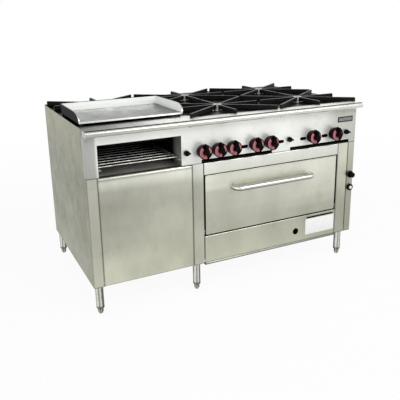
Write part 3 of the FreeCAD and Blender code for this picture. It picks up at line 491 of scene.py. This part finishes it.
def soot_and_shade_material(name, color, clean_and_lit_depth, soot_and_shade_depth, wall_share=1.0):
    """Dull inner sheet with a brown heat tint and grease spots, blacker further in with soot and painted
    shade.
    Walls and ceilings may be black by a share of the depth at which floors are."""
    tint_range = (0.4, 0.65)
    tint_share = 0.5
    spot_range = (0.6, 0.72)
    spot_share = 0.7
    spot_level = 0.35
    clean_metallic = 0.85
    roughness_range = (0.34, 0.6)
    material, tree, shader = new_material(name)
    plain = object_coords(tree)
    tint = noise(tree, plain, scale=6.0, detail=5.0)
    spots = noise(tree, plain, scale=42.0)
    depth = axis_value(tree, plain, "Y")
    tone = mixed(tree, mapped(tree, tint, tint_range, (0.0, tint_share)), color, heat_color)
    spotted = mapped(tree, spots, spot_range, (0.0, spot_share))
    tone = mixed(tree, spotted, tone, shaded(heat_color, spot_level))
    # Soot and painted shade, blacker further in
    floor_soot_and_shade = mapped(tree, depth, (clean_and_lit_depth, soot_and_shade_depth))
    wall_depth = clean_and_lit_depth + (soot_and_shade_depth - clean_and_lit_depth) * wall_share
    wall_soot_and_shade = mapped(tree, depth, (clean_and_lit_depth, wall_depth))
    off_floor = mapped(tree, face_normal(tree, "Z"), facing_up, (1.0, 0.0))
    soot_and_shade = math_node(tree, "MAXIMUM", floor_soot_and_shade, math_node(tree, "MULTIPLY", wall_soot_and_shade, off_floor))
    tone = mixed(tree, soot_and_shade, tone, soot_and_shade_color)
    tree.links.new(tone, shader.inputs["Base Color"])
    tree.links.new(mapped(tree, soot_and_shade, (0.0, 1.0), (clean_metallic, 0.0)), shader.inputs["Metallic"])
    shader.inputs["Specular IOR Level"].default_value = 0.1
    dull = math_node(tree, "MAXIMUM", mapped(tree, spots, wide_noise, roughness_range), soot_and_shade)
    tree.links.new(dull, shader.inputs["Roughness"])
    bumped(tree, shader, spots, strength=0.12, distance=0.0006)
    return material


def wire_material():
    """Bright rack wire with burnt-on stains, and painted shade that darkens it towards the back."""
    stain_range = (0.45, 0.7)
    stain_share = 0.6
    roughness_range = (0.2, 0.42)
    material, tree, shader = new_material("rack_wire")
    plain = object_coords(tree)
    stains = noise(tree, plain, scale=30.0)
    stained = mapped(tree, stains, stain_range, (0.0, stain_share))
    tone = mixed(tree, stained, wire_color, wire_stain_color)
    # Painted shade towards the back
    tone = scaled(tree, tone, share_ramp(tree, axis_value(tree, plain, "Y"), wire_shares))
    tree.links.new(tone, shader.inputs["Base Color"])
    shader.inputs["Metallic"].default_value = 1.0
    tree.links.new(mapped(tree, stains, wide_noise, roughness_range), shader.inputs["Roughness"])
    return material


def iron_material(name, hub=None):
    """Black cast iron with a sand-cast grain. Where there is a hub, the tops are paler, worn by pans and with
    a painted highlight, and the hub is bright."""
    patch_level = 2.2
    top_faces = (0.6, 0.95)
    worn_and_lit_shares = (0.45, 1.0)
    roughness_range = (0.46, 0.68)
    material, tree, shader = new_material(name)
    plain = object_coords(tree)
    grain = noise(tree, plain, scale=420.0, detail=5.0, rough=0.65)
    patches = noise(tree, plain, scale=16.0)
    tone = mixed(tree, mapped(tree, patches, upper_noise), iron_color, shaded(iron_color, patch_level))
    if hub:
        # Upward faces paler: wear from pans and a painted highlight
        upward = mapped(tree, face_normal(tree, "Z"), top_faces)
        painted_light_share = math_node(tree, "MULTIPLY", upward, mapped(tree, patches, middle_noise, worn_and_lit_shares))
        tone = mixed(tree, painted_light_share, tone, iron_worn_and_lit_color)
        reach = level_distance(tree, plain, hub)
        tone = mixed(tree, mapped(tree, reach, hub_reach, (1.0, 0.0)), tone, hub_color)
    tree.links.new(tone, shader.inputs["Base Color"])
    shader.inputs["Metallic"].default_value = 0.5
    shader.inputs["Specular IOR Level"].default_value = 0.18
    tree.links.new(mapped(tree, grain, wide_noise, roughness_range), shader.inputs["Roughness"])
    bumped(tree, shader, grain, strength=0.35, distance=0.0008)
    return material


def griddle_material():
    """A worn plate: bright and scratched inside, black with baked-on carbon outside and below. Inside, its
    walls are painted near white as painted light, and its floor carries painted shade to the right and in the
    back corner.
    """
    scratch_scale = (9.0, 420.0, 420.0)
    scratch_range = (0.4, 0.7)
    stain_range = (0.35, 0.68)
    roughness_range = (0.26, 0.46)
    carbon_roughness = 0.75
    low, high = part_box("griddle")
    middle = (low + high) / 2
    material, tree, shader = new_material("griddle_steel")
    plain = object_coords(tree)
    scratches = noise(tree, object_coords(tree, scratch_scale), detail=3.0)
    stains = noise(tree, plain, scale=13.0, detail=5.0, rough=0.62)
    # Painted shade on the floor towards the right
    plate = share_ramp(tree, axis_value(tree, plain, "X"), griddle_shares)
    plate = scaled(tree, plate, griddle_color)
    # Painted shade in the corner before the back wall
    corner_front, corner_back, corner_share = griddle_corner_shade
    corner_range = (high.y - corner_front, high.y - corner_back)
    corner_shade = mapped(tree, axis_value(tree, plain, "Y"), corner_range, (1.0, corner_share))
    plate = scaled(tree, plate, corner_shade)
    # Walls painted near white, brighter than the floor: painted light
    upright = mapped(tree, face_normal(tree, "Z"), facing_up, (1.0, 0.0))
    clean = mixed(tree, upright, plate, griddle_wall_color)
    stained = mixed(tree, upright, griddle_stain_color, griddle_wall_stain_color)
    tone = mixed(tree, mapped(tree, stains, stain_range), clean, stained, "MULTIPLY")
    scratched = mapped(tree, scratches, scratch_range)
    tone = mixed(tree, scratched, tone, griddle_scratch_color, "MULTIPLY")
    offset = vector_math(tree, "SUBTRACT", plain, (middle.x, low.y, middle.z))
    level_normal = vector_math(tree, "MULTIPLY", face_direction(tree), (1.0, 1.0, 0.0))
    outward = vector_math(tree, "DOT_PRODUCT", level_normal, offset)
    outside = mapped(tree, outward, griddle_outward)
    underside = mapped(tree, face_normal(tree, "Z"), facing_down)
    plate_bottom = low.z + griddle_foot_height
    foot_range = (plate_bottom + griddle_foot_blend, plate_bottom - griddle_foot_blend)
    foot = mapped(tree, axis_value(tree, plain, "Z"), foot_range)
    carbon = math_node(tree, "MAXIMUM", outside, underside)
    carbon = math_node(tree, "MAXIMUM", carbon, foot)
    tone = mixed(tree, carbon, tone, carbon_color)
    tree.links.new(tone, shader.inputs["Base Color"])
    shader.inputs["Metallic"].default_value = 0.75
    shader.inputs["Specular Tint"].default_value = griddle_edge_tint
    dull = math_node(tree, "MAXIMUM", mapped(tree, stains, wide_noise, roughness_range),
                     math_node(tree, "MULTIPLY", carbon, carbon_roughness))
    tree.links.new(dull, shader.inputs["Roughness"])
    bumped(tree, shader, scratches, strength=0.12, distance=0.0004)
    return material


def plastic_material(name, color, roughness, grain_scale, variation=0.12, gloss=0.15):
    """Moulded plastic: a fine spark-eroded grain, with the gloss rubbed uneven."""
    material, tree, shader = new_material(name)
    plain = object_coords(tree)
    grain = noise(tree, plain, grain_scale, detail=3.0, rough=0.5)
    rubbed = noise(tree, plain, scale=60.0, detail=3.0, rough=0.5)
    dull = shaded(color, 1 - variation)
    fresh = shaded(color, 1 + variation)
    tone = mixed(tree, mapped(tree, rubbed, middle_noise), dull, fresh)
    tree.links.new(tone, shader.inputs["Base Color"])
    shader.inputs["Specular IOR Level"].default_value = gloss
    rough = mapped(tree, rubbed, wide_noise, spread(roughness, below=0.05, above=0.1))
    tree.links.new(rough, shader.inputs["Roughness"])
    bumped(tree, shader, grain, strength=0.15, distance=0.0002)
    return material


def plain_metal_material(name, color, metallic, roughness):
    """Small metal pieces: a stained colour, duller where it is stained."""
    clean_level = 1.08
    stain_level = 0.72
    material, tree, shader = new_material(name)
    stains = noise(tree, object_coords(tree), scale=45.0)
    tone = mixed(tree, mapped(tree, stains, upper_noise), shaded(color, clean_level),
                 shaded(color, stain_level))
    tree.links.new(tone, shader.inputs["Base Color"])
    shader.inputs["Metallic"].default_value = metallic
    rough = mapped(tree, stains, wide_noise, spread(roughness, below=0.06, above=0.1))
    tree.links.new(rough, shader.inputs["Roughness"])
    return material


def wool_material():
    """Matted yellow fibres, lying along the layers."""
    fibre_scale = (60.0, 240.0, 60.0)
    fibre_level = 0.7
    material, tree, shader = new_material("mineral_wool")
    fibres = noise(tree, object_coords(tree, fibre_scale), detail=5.0, rough=0.7)
    tone = mixed(tree, mapped(tree, fibres, middle_noise), shaded(wool_color, fibre_level), wool_color)
    tree.links.new(tone, shader.inputs["Base Color"])
    shader.inputs["Roughness"].default_value = 0.95
    bumped(tree, shader, fibres, strength=0.5, distance=0.002)
    return material


# The grain runs upright on the tall sheets, and from side to side on the wide ones and the deck
upright_grain = (700.0, 700.0, 4.0)
level_grain = (4.0, 4.0, 700.0)
deck_grain = (4.0, 500.0, 4.0)

control_low, control_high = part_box("control_panel")
front_y = control_low.y
cabinet_low, cabinet_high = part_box("cabinet_panel")
door_low, door_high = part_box("door_outer")
post_low, post_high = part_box("middle_post")
right_post_low, right_post_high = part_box("right_post")
back_low, back_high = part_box("back_panel")
body_bottom = cabinet_low.z

# Seams, each an axis and a place on it
cabinet_seams = (("X", cabinet_low.x), ("X", cabinet_high.x), ("Z", body_bottom))
post_seams = (("X", post_low.x), ("X", post_high.x), ("Z", body_bottom))
right_post_seams = (("X", right_post_low.x), ("X", right_post_high.x), ("Z", body_bottom))
left_flange_seams = (("X", cabinet_low.x), ("Z", body_bottom))
right_flange_seams = (("X", right_post_high.x), ("Z", body_bottom))
oven_seams = (("X", post_high.x), ("X", right_post_low.x))
door_seams = (("X", door_high.x), ("Z", door_high.z))
control_seams = (("Z", control_low.z), ("Z", control_high.z))
back_seams = (("X", back_low.x), ("X", back_high.x), ("Z", back_low.z), ("Z", back_high.z))

# Tones of a sheet's right part, and the range over which they take over
cabinet_right = (cabinet_right_tones, (cabinet_low.x + 0.05, cabinet_high.x - 0.03))
door_right = (door_right_tones, (door_low.x + 0.1, door_high.x))
control_right = (control_right_tones, (0.20, 0.75))

cabinet_steel = sheet_material("cabinet_steel", cabinet_left_tones, front_roughness, upright_grain,
                               right=cabinet_right, seams=cabinet_seams)
post_steel = sheet_material("post_steel", post_tones, front_roughness, upright_grain, seams=post_seams)
right_post_steel = sheet_material("right_post_steel", right_post_tones, front_roughness, upright_grain,
                                  seams=right_post_seams)
door_steel = sheet_material("door_steel", door_left_tones, door_roughness, level_grain, smudge=0.08,
                            right=door_right, seams=door_seams)
lower_steel = sheet_material("lower_steel", lower_tones, front_roughness, level_grain, smudge=0.08,
                             shares=(("X", lower_shares),), seams=oven_seams)
top_rail_steel = sheet_material("top_rail_steel", top_rail_tones, front_roughness, level_grain, smudge=0.05,
                                shares=(("X", top_rail_shares),), seams=oven_seams)
control_steel = sheet_material("control_steel", control_tones, control_roughness, level_grain, smudge=0.05,
                               right=control_right, shares=(("X", control_shares),), seams=control_seams,
                               metallic=0.5)
rail_steel = sheet_material("rail_steel", rail_tones, rail_roughness, level_grain, smudge=0.05,
                            shares=(("X", rail_shares),))
left_side_steel = sheet_material("left_side_steel", side_tones, side_roughness, upright_grain, smudge=0.06,
                                 seams=left_flange_seams, front_tones=left_flange_tones)
right_side_steel = sheet_material("right_side_steel", side_tones, side_roughness, upright_grain, smudge=0.06,
                                  seams=right_flange_seams, front_tones=right_flange_tones)
back_steel = sheet_material("back_steel", side_tones, side_roughness, upright_grain, smudge=0.08,
                            seams=back_seams)
deck_steel = sheet_material("deck_steel", deck_tones, deck_roughness, deck_grain,
                            front_tones=deck_front_tones,
                            shares=(("Y", deck_shares), ("X", deck_left_shares)),
                            edge_shares=deck_edge_shares,
                            dull_strip=deck_dull_strip, left_shift=deck_left_shift)
leg_steel = leg_material()
handle_steel = handle_material()
burner_steel = sheet_material("burner_steel", burner_tones, burner_roughness, deck_grain)
liner_steel = soot_and_shade_material("liner_steel", liner_color, clean_and_lit_depth=front_y + 0.05,
                              soot_and_shade_depth=front_y + 0.70)
broiler_steel = soot_and_shade_material("broiler_steel", broiler_color, clean_and_lit_depth=front_y + 0.01,
                                soot_and_shade_depth=front_y + 0.24, wall_share=0.4)
tray_steel = soot_and_shade_material("tray_steel", tray_color, clean_and_lit_depth=front_y - 0.10,
                             soot_and_shade_depth=front_y + 0.60, wall_share=0.18)
rack_wire = wire_material()
burner_iron = iron_material("burner_iron")
burner_soot = soot_and_shade_material("burner_soot", soot_and_shade_color, clean_and_lit_depth=front_y, soot_and_shade_depth=front_y + 0.05)
griddle_steel = griddle_material()
knob_plastic = plastic_material("knob_plastic", plastic_color, roughness=0.40, grain_scale=900.0, gloss=0.03)
button_plastic = plastic_material("button_plastic", white_color, roughness=0.35, grain_scale=900.0,
                                  variation=0.04)
inlay_plastic = plastic_material("inlay_plastic", inlay_color, roughness=0.45, grain_scale=700.0)
label_vinyl = plastic_material("label_vinyl", label_color, roughness=0.40, grain_scale=500.0,
                               variation=0.005)
badge_metal = plain_metal_material("badge_metal", badge_color, metallic=0.9, roughness=0.3)
badge_border = plastic_material("badge_border", badge_border_color, roughness=0.4, grain_scale=700.0)
brass = plain_metal_material("brass", brass_color, metallic=1.0, roughness=0.32)
pipe_paint = plain_metal_material("pipe_paint", pipe_color, metallic=0.4, roughness=0.45)
screw_steel = plain_metal_material("screw_steel", screw_color, metallic=1.0, roughness=0.28)
mineral_wool = wool_material()

node_materials = {
    "left_side_panel": left_side_steel,
    "right_side_panel": right_side_steel,
    "back_panel": back_steel,
    "base_pan": liner_steel,
    "middle_post": post_steel,
    "right_post": right_post_steel,
    "cabinet_panel": cabinet_steel,
    "lower_front_panel": lower_steel,
    "oven_top_rail": top_rail_steel,
    "control_panel": control_steel,
    "front_rail": rail_steel,
    "cooktop_deck": deck_steel,
    "door_outer": door_steel,
    "door_inner": liner_steel,
    "door_handle": handle_steel,
    "door_hinges": screw_steel,
    "legs": leg_steel,
    "oven_liner": liner_steel,
    "oven_floor": liner_steel,
    "oven_rack": rack_wire,
    "oven_burner": burner_iron,
    "oven_insulation": mineral_wool,
    "broiler_liner": broiler_steel,
    "broiler_rack": rack_wire,
    "broiler_burner": burner_soot,
    "inner_supports": liner_steel,
    "drip_tray_left": tray_steel,
    "drip_tray_right": tray_steel,
    "griddle": griddle_steel,
    "gas_manifold": pipe_paint,
    "gas_tubes": pipe_paint,
    "gas_valves": brass,
    "burner_bodies": burner_iron,
    "burner_heads": burner_steel,
    "thermostat": pipe_paint,
    "thermostat_knob": knob_plastic,
    "igniter": knob_plastic,
    "igniter_button": button_plastic,
}
family_materials = {"knob_": knob_plastic, "pilot_knob_": knob_plastic, "foot_": leg_steel}


def material_for(node_name):
    """The material of a node of the model. Each trivet has its own, centred on its hub."""
    if node_name.startswith("trivet_"):
        low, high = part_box(node_name)
        return iron_material(node_name + "_iron", (low + high) / 2)
    if node_name in node_materials:
        return node_materials[node_name]
    return next(family_materials[prefix] for prefix in family_materials if node_name.startswith(prefix))


for node_name in nodes:
    slots = nodes[node_name].data.materials
    slots.clear()
    slots.append(material_for(node_name))


# Pieces

# Of an eased edge, the share that its facet takes
ease_share = 0.3


def add_piece(name, mesh_builder, material, body):
    """A smooth piece from finished mesh data, which moves with a body of the model."""
    mesh = bpy.data.meshes.new(name)
    bmesh.ops.recalc_face_normals(mesh_builder, faces=mesh_builder.faces)
    mesh_builder.to_mesh(mesh)
    mesh_builder.free()
    mesh.polygons.foreach_set("use_smooth", [True] * len(mesh.polygons))
    piece = bpy.data.objects.new(name, mesh)
    bpy.context.scene.collection.objects.link(piece)
    mesh.materials.append(material)
    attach(piece, body)


def join_rings(builder, first, second):
    """Faces between two closed rows of corners."""
    count = len(first)
    for step in range(count):
        after = (step + 1) % count
        builder.faces.new((first[step], first[after], second[after], second[step]))


def rounded_outline(width, height, radius, steps=6):
    """Corner points of a rectangle with round corners, about the origin, in x and z."""
    points = []
    corners = ((1, 1, 0), (-1, 1, 90), (-1, -1, 180), (1, -1, 270))
    for side_x, side_z, start in corners:
        centre = (side_x * (width / 2 - radius), side_z * (height / 2 - radius))
        for step in range(steps + 1):
            turn = math.radians(start + 90 * step / steps)
            points.append((centre[0] + radius * math.cos(turn), centre[1] + radius * math.sin(turn)))
    return points


def front_plate(centre, width, height, radius, thickness, edge):
    """A plate on the front, facing -Y, with its edge rounded over."""
    builder = bmesh.new()
    rings = []
    ease = edge * ease_share
    levels = ((0.0, 0.0), (-(thickness - edge), 0.0), (-(thickness - ease), ease), (-thickness, edge))
    for depth, inset in levels:
        outline = rounded_outline(width - 2 * inset, height - 2 * inset, radius - inset)
        rings.append([builder.verts.new((centre.x + x, centre.y + depth, centre.z + z)) for x, z in outline])
    for lower, upper in zip(rings, rings[1:]):
        join_rings(builder, lower, upper)
    builder.faces.new(rings[0])
    builder.faces.new(rings[-1])
    return builder


def screw_head(centre, radius, height, facing=-1.0):
    """A pan head facing -Y, or +Y for a facing of 1, with a cross recess pressed into its dome."""
    cells = 14
    dome_fall = 0.8
    slot_half_width = 0.13
    slot_reach = 0.62
    slot_depth = 0.55 * height
    builder = bmesh.new()
    grid = []
    for row in range(cells + 1):
        line = []
        for column in range(cells + 1):
            u = 2 * column / cells - 1
            v = 2 * row / cells - 1
            x = u * math.sqrt(1 - v * v / 2)
            z = v * math.sqrt(1 - u * u / 2)
            reach = min(1.0, math.hypot(x, z))
            rise = height * math.sqrt(1 - dome_fall * reach ** 4)
            in_cross = min(abs(x), abs(z)) < slot_half_width and max(abs(x), abs(z)) < slot_reach
            if in_cross:
                rise -= slot_depth
            place = (centre.x + radius * x, centre.y + facing * rise, centre.z + radius * z)
            line.append(builder.verts.new(place))
        grid.append(line)
    for row in range(cells):
        for column in range(cells):
            builder.faces.new((grid[row][column], grid[row][column + 1],
                               grid[row + 1][column + 1], grid[row + 1][column]))
    bottom, top = grid[0], grid[-1]
    left_side = [line[0] for line in grid]
    right_side = [line[-1] for line in grid]
    rim = bottom[:-1] + right_side[:-1] + top[:0:-1] + left_side[:0:-1]
    base = [builder.verts.new((vert.co.x, centre.y, vert.co.z)) for vert in rim]
    join_rings(builder, rim, base)
    builder.faces.new(base)
    return builder


def ring_piece(centre, inner, outer, thickness, arcs, steps=32):
    """Arcs of a flat ring facing -Y round a centre, with their front edges eased. Angles from the top."""
    ease = thickness * ease_share
    section = ((inner, 0.0), (inner, thickness - ease), (inner + ease, thickness),
               (outer - ease, thickness), (outer, thickness - ease), (outer, 0.0))
    builder = bmesh.new()
    for start, end in arcs:
        rings = []
        for step in range(steps + 1):
            turn = math.radians(start + (end - start) * step / steps)
            across = Vector((math.sin(turn), 0.0, math.cos(turn)))
            rings.append([builder.verts.new(centre + across * reach + Vector((0.0, -rise, 0.0)))
                          for reach, rise in section])
        for before, after in zip(rings, rings[1:]):
            join_rings(builder, before, after)
        builder.faces.new(rings[0])
        builder.faces.new(rings[-1])
    return builder


left_x = cad_low.x


def front_point(across, height):
    """A point on the front plane, by millimetres from the left side and above the floor."""
    return Vector((left_x + across / 1000, front_y, height / 1000))


# A bare badge plate on the control panel, and a bare label on the lower panel
badge_centre = front_point(1421.5, 790.5)
badge_size = (0.101, 0.030)
badge_rim = 0.013
badge_face_rise = 0.0010
add_piece("badge_border", front_plate(badge_centre, *badge_size, radius=0.003, thickness=0.0012, edge=0.0004),
          badge_border, "frame")
badge_face_centre = badge_centre + Vector((0.0, -badge_face_rise, 0.0))
badge_face_size = (badge_size[0] - badge_rim, badge_size[1] - badge_rim)
add_piece("badge_face",
          front_plate(badge_face_centre, *badge_face_size, radius=0.002, thickness=0.0008, edge=0.0003),
          badge_metal, "frame")
label_centre = front_point(1278.5, 214.5)
label_size = (0.193, 0.089)
add_piece("blank_label", front_plate(label_centre, *label_size, radius=0.002, thickness=0.0006, edge=0.0002),
          label_vinyl, "frame")

# Screws on the front, by millimetres from the left side and above the floor
screw_radius = 0.0042
screw_height = 0.0022
screw_places = {
    "panel_screw": [(500, 843), (1004, 843), (1486, 825), (1491, 681), (10, 689), (10, 829)],
    "strip_screw": [(1474, 431), (1466, 372)],
}
for screw_name, places in screw_places.items():
    for number, (across, height) in enumerate(places, start=1):
        head = screw_head(front_point(across, height), screw_radius, screw_height)
        add_piece(screw_name + "_" + str(number), head, screw_steel, "frame")

# Screws along the edges of the back
back_screw_margin = 0.018
back_screw_columns = 6
back_screw_rows = 4
back_screw_radius = 0.0055
back_screw_height = 0.0028
back_first = Vector((back_low.x + back_screw_margin, back_high.y, back_low.z + back_screw_margin))
back_last = Vector((back_high.x - back_screw_margin, back_high.y, back_high.z - back_screw_margin))
back_screw_count = 0
for column in range(back_screw_columns):
    for row in range(back_screw_rows):
        on_edge = column in (0, back_screw_columns - 1) or row in (0, back_screw_rows - 1)
        if on_edge:
            across = (back_last.x - back_first.x) * column / (back_screw_columns - 1)
            up = (back_last.z - back_first.z) * row / (back_screw_rows - 1)
            centre = back_first + Vector((across, 0.0, up))
            back_screw_count += 1
            head = screw_head(centre, back_screw_radius, back_screw_height, facing=1.0)
            add_piece("back_screw_" + str(back_screw_count), head, screw_steel, "frame")

# Coloured rings in the grooves of the big knobs
knob_grip_height = 0.022
knob_groove_depth = 0.003
knob_radius = 0.035
ring_inner = 0.0138
ring_outer = 0.0311
ring_thickness = 0.0026
ring_arcs = ((40, 105), (165, 325))
big_knobs = 7
for number in range(1, big_knobs + 1):
    knob_name = "knob_" + str(number)
    low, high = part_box(knob_name)
    floor_y = low.y + knob_grip_height + knob_groove_depth
    centre = Vector(((low.x + high.x) / 2, floor_y, low.z + knob_radius))
    ring = ring_piece(centre, ring_inner, ring_outer, ring_thickness, ring_arcs)
    add_piece("ring_" + knob_name, ring, inlay_plastic, knob_name)


# Stage, lights and camera

def background_rays(tree):
    """One for the rays that show the background: from the camera, and in mirrors and glass."""
    rays = tree.nodes.new("ShaderNodeLightPath")
    seen = math_node(tree, "MAXIMUM", rays.outputs["Is Camera Ray"], rays.outputs["Is Glossy Ray"])
    return math_node(tree, "MAXIMUM", seen, rays.outputs["Is Transmission Ray"])


def make_stage():
    """A wide pale floor, which the camera and mirrors see as white with the object's soft shadow."""
    bpy.ops.mesh.primitive_plane_add(size=floor_size, location=(0.0, 0.0, 0.0))
    floor = bpy.context.object
    floor.name = "floor"
    material, tree, shader = new_material("pale_floor")
    shader.inputs["Base Color"].default_value = (*floor_color, 1.0)
    shader.inputs["Roughness"].default_value = 0.9
    glow = tree.nodes.new("ShaderNodeEmission")
    glow.inputs["Color"].default_value = pure_white
    away = level_distance(tree, object_coords(tree), (0.0, 0.0, 0.0))
    glow_share = mapped(tree, away, *floor_glow)
    share = math_node(tree, "MULTIPLY", background_rays(tree), glow_share)
    mix = tree.nodes.new("ShaderNodeMixShader")
    tree.links.new(share, mix.inputs["Fac"])
    tree.links.new(shader.outputs["BSDF"], mix.inputs[1])
    tree.links.new(glow.outputs["Emission"], mix.inputs[2])
    tree.links.new(mix.outputs["Shader"], tree.nodes["Material Output"].inputs["Surface"])
    floor.data.materials.append(material)


def make_world():
    """An even white room, which shows as the background and lights the object less."""
    world = bpy.data.worlds.new("studio")
    bpy.context.scene.world = world
    world.use_nodes = True
    tree = world.node_tree
    background = tree.nodes["Background"]
    strength = mapped(tree, background_rays(tree), (0.0, 1.0), (room_strength, background_strength))
    tree.links.new(strength, background.inputs["Strength"])
    background.inputs["Color"].default_value = pure_white


def add_softbox(name, place, target, size, power):
    """A rectangular lamp aimed at a point."""
    light = bpy.data.lights.new(name, "AREA")
    light.shape = "RECTANGLE"
    light.size = size[0]
    light.size_y = size[1]
    light.energy = power
    lamp = bpy.data.objects.new(name, light)
    bpy.context.scene.collection.objects.link(lamp)
    lamp.location = place
    lamp.rotation_euler = (Vector(target) - Vector(place)).to_track_quat("-Z", "Y").to_euler()


def make_camera():
    """The photograph's camera: its lens, its frame's offset, its place and its turn."""
    data = bpy.data.cameras.new("camera")
    data.sensor_width = sensor_width
    data.lens = focal_pixels / image_size * sensor_width
    data.shift_x = (image_size / 2 - principal_pixel[0]) / image_size
    data.shift_y = (principal_pixel[1] - image_size / 2) / image_size
    data.clip_end = camera_reach
    camera = bpy.data.objects.new("camera", data)
    bpy.context.scene.collection.objects.link(camera)
    right = camera_right.normalized()
    back = right.cross(camera_up).normalized()
    up = back.cross(right)
    turn = Matrix((right, up, back)).transposed()
    camera.matrix_world = Matrix.Translation(camera_place) @ turn.to_4x4()
    bpy.context.scene.camera = camera


make_stage()
make_world()
for softbox in softboxes:
    add_softbox(*softbox)
make_camera()
bpy.context.scene.view_settings.view_transform = "Standard"
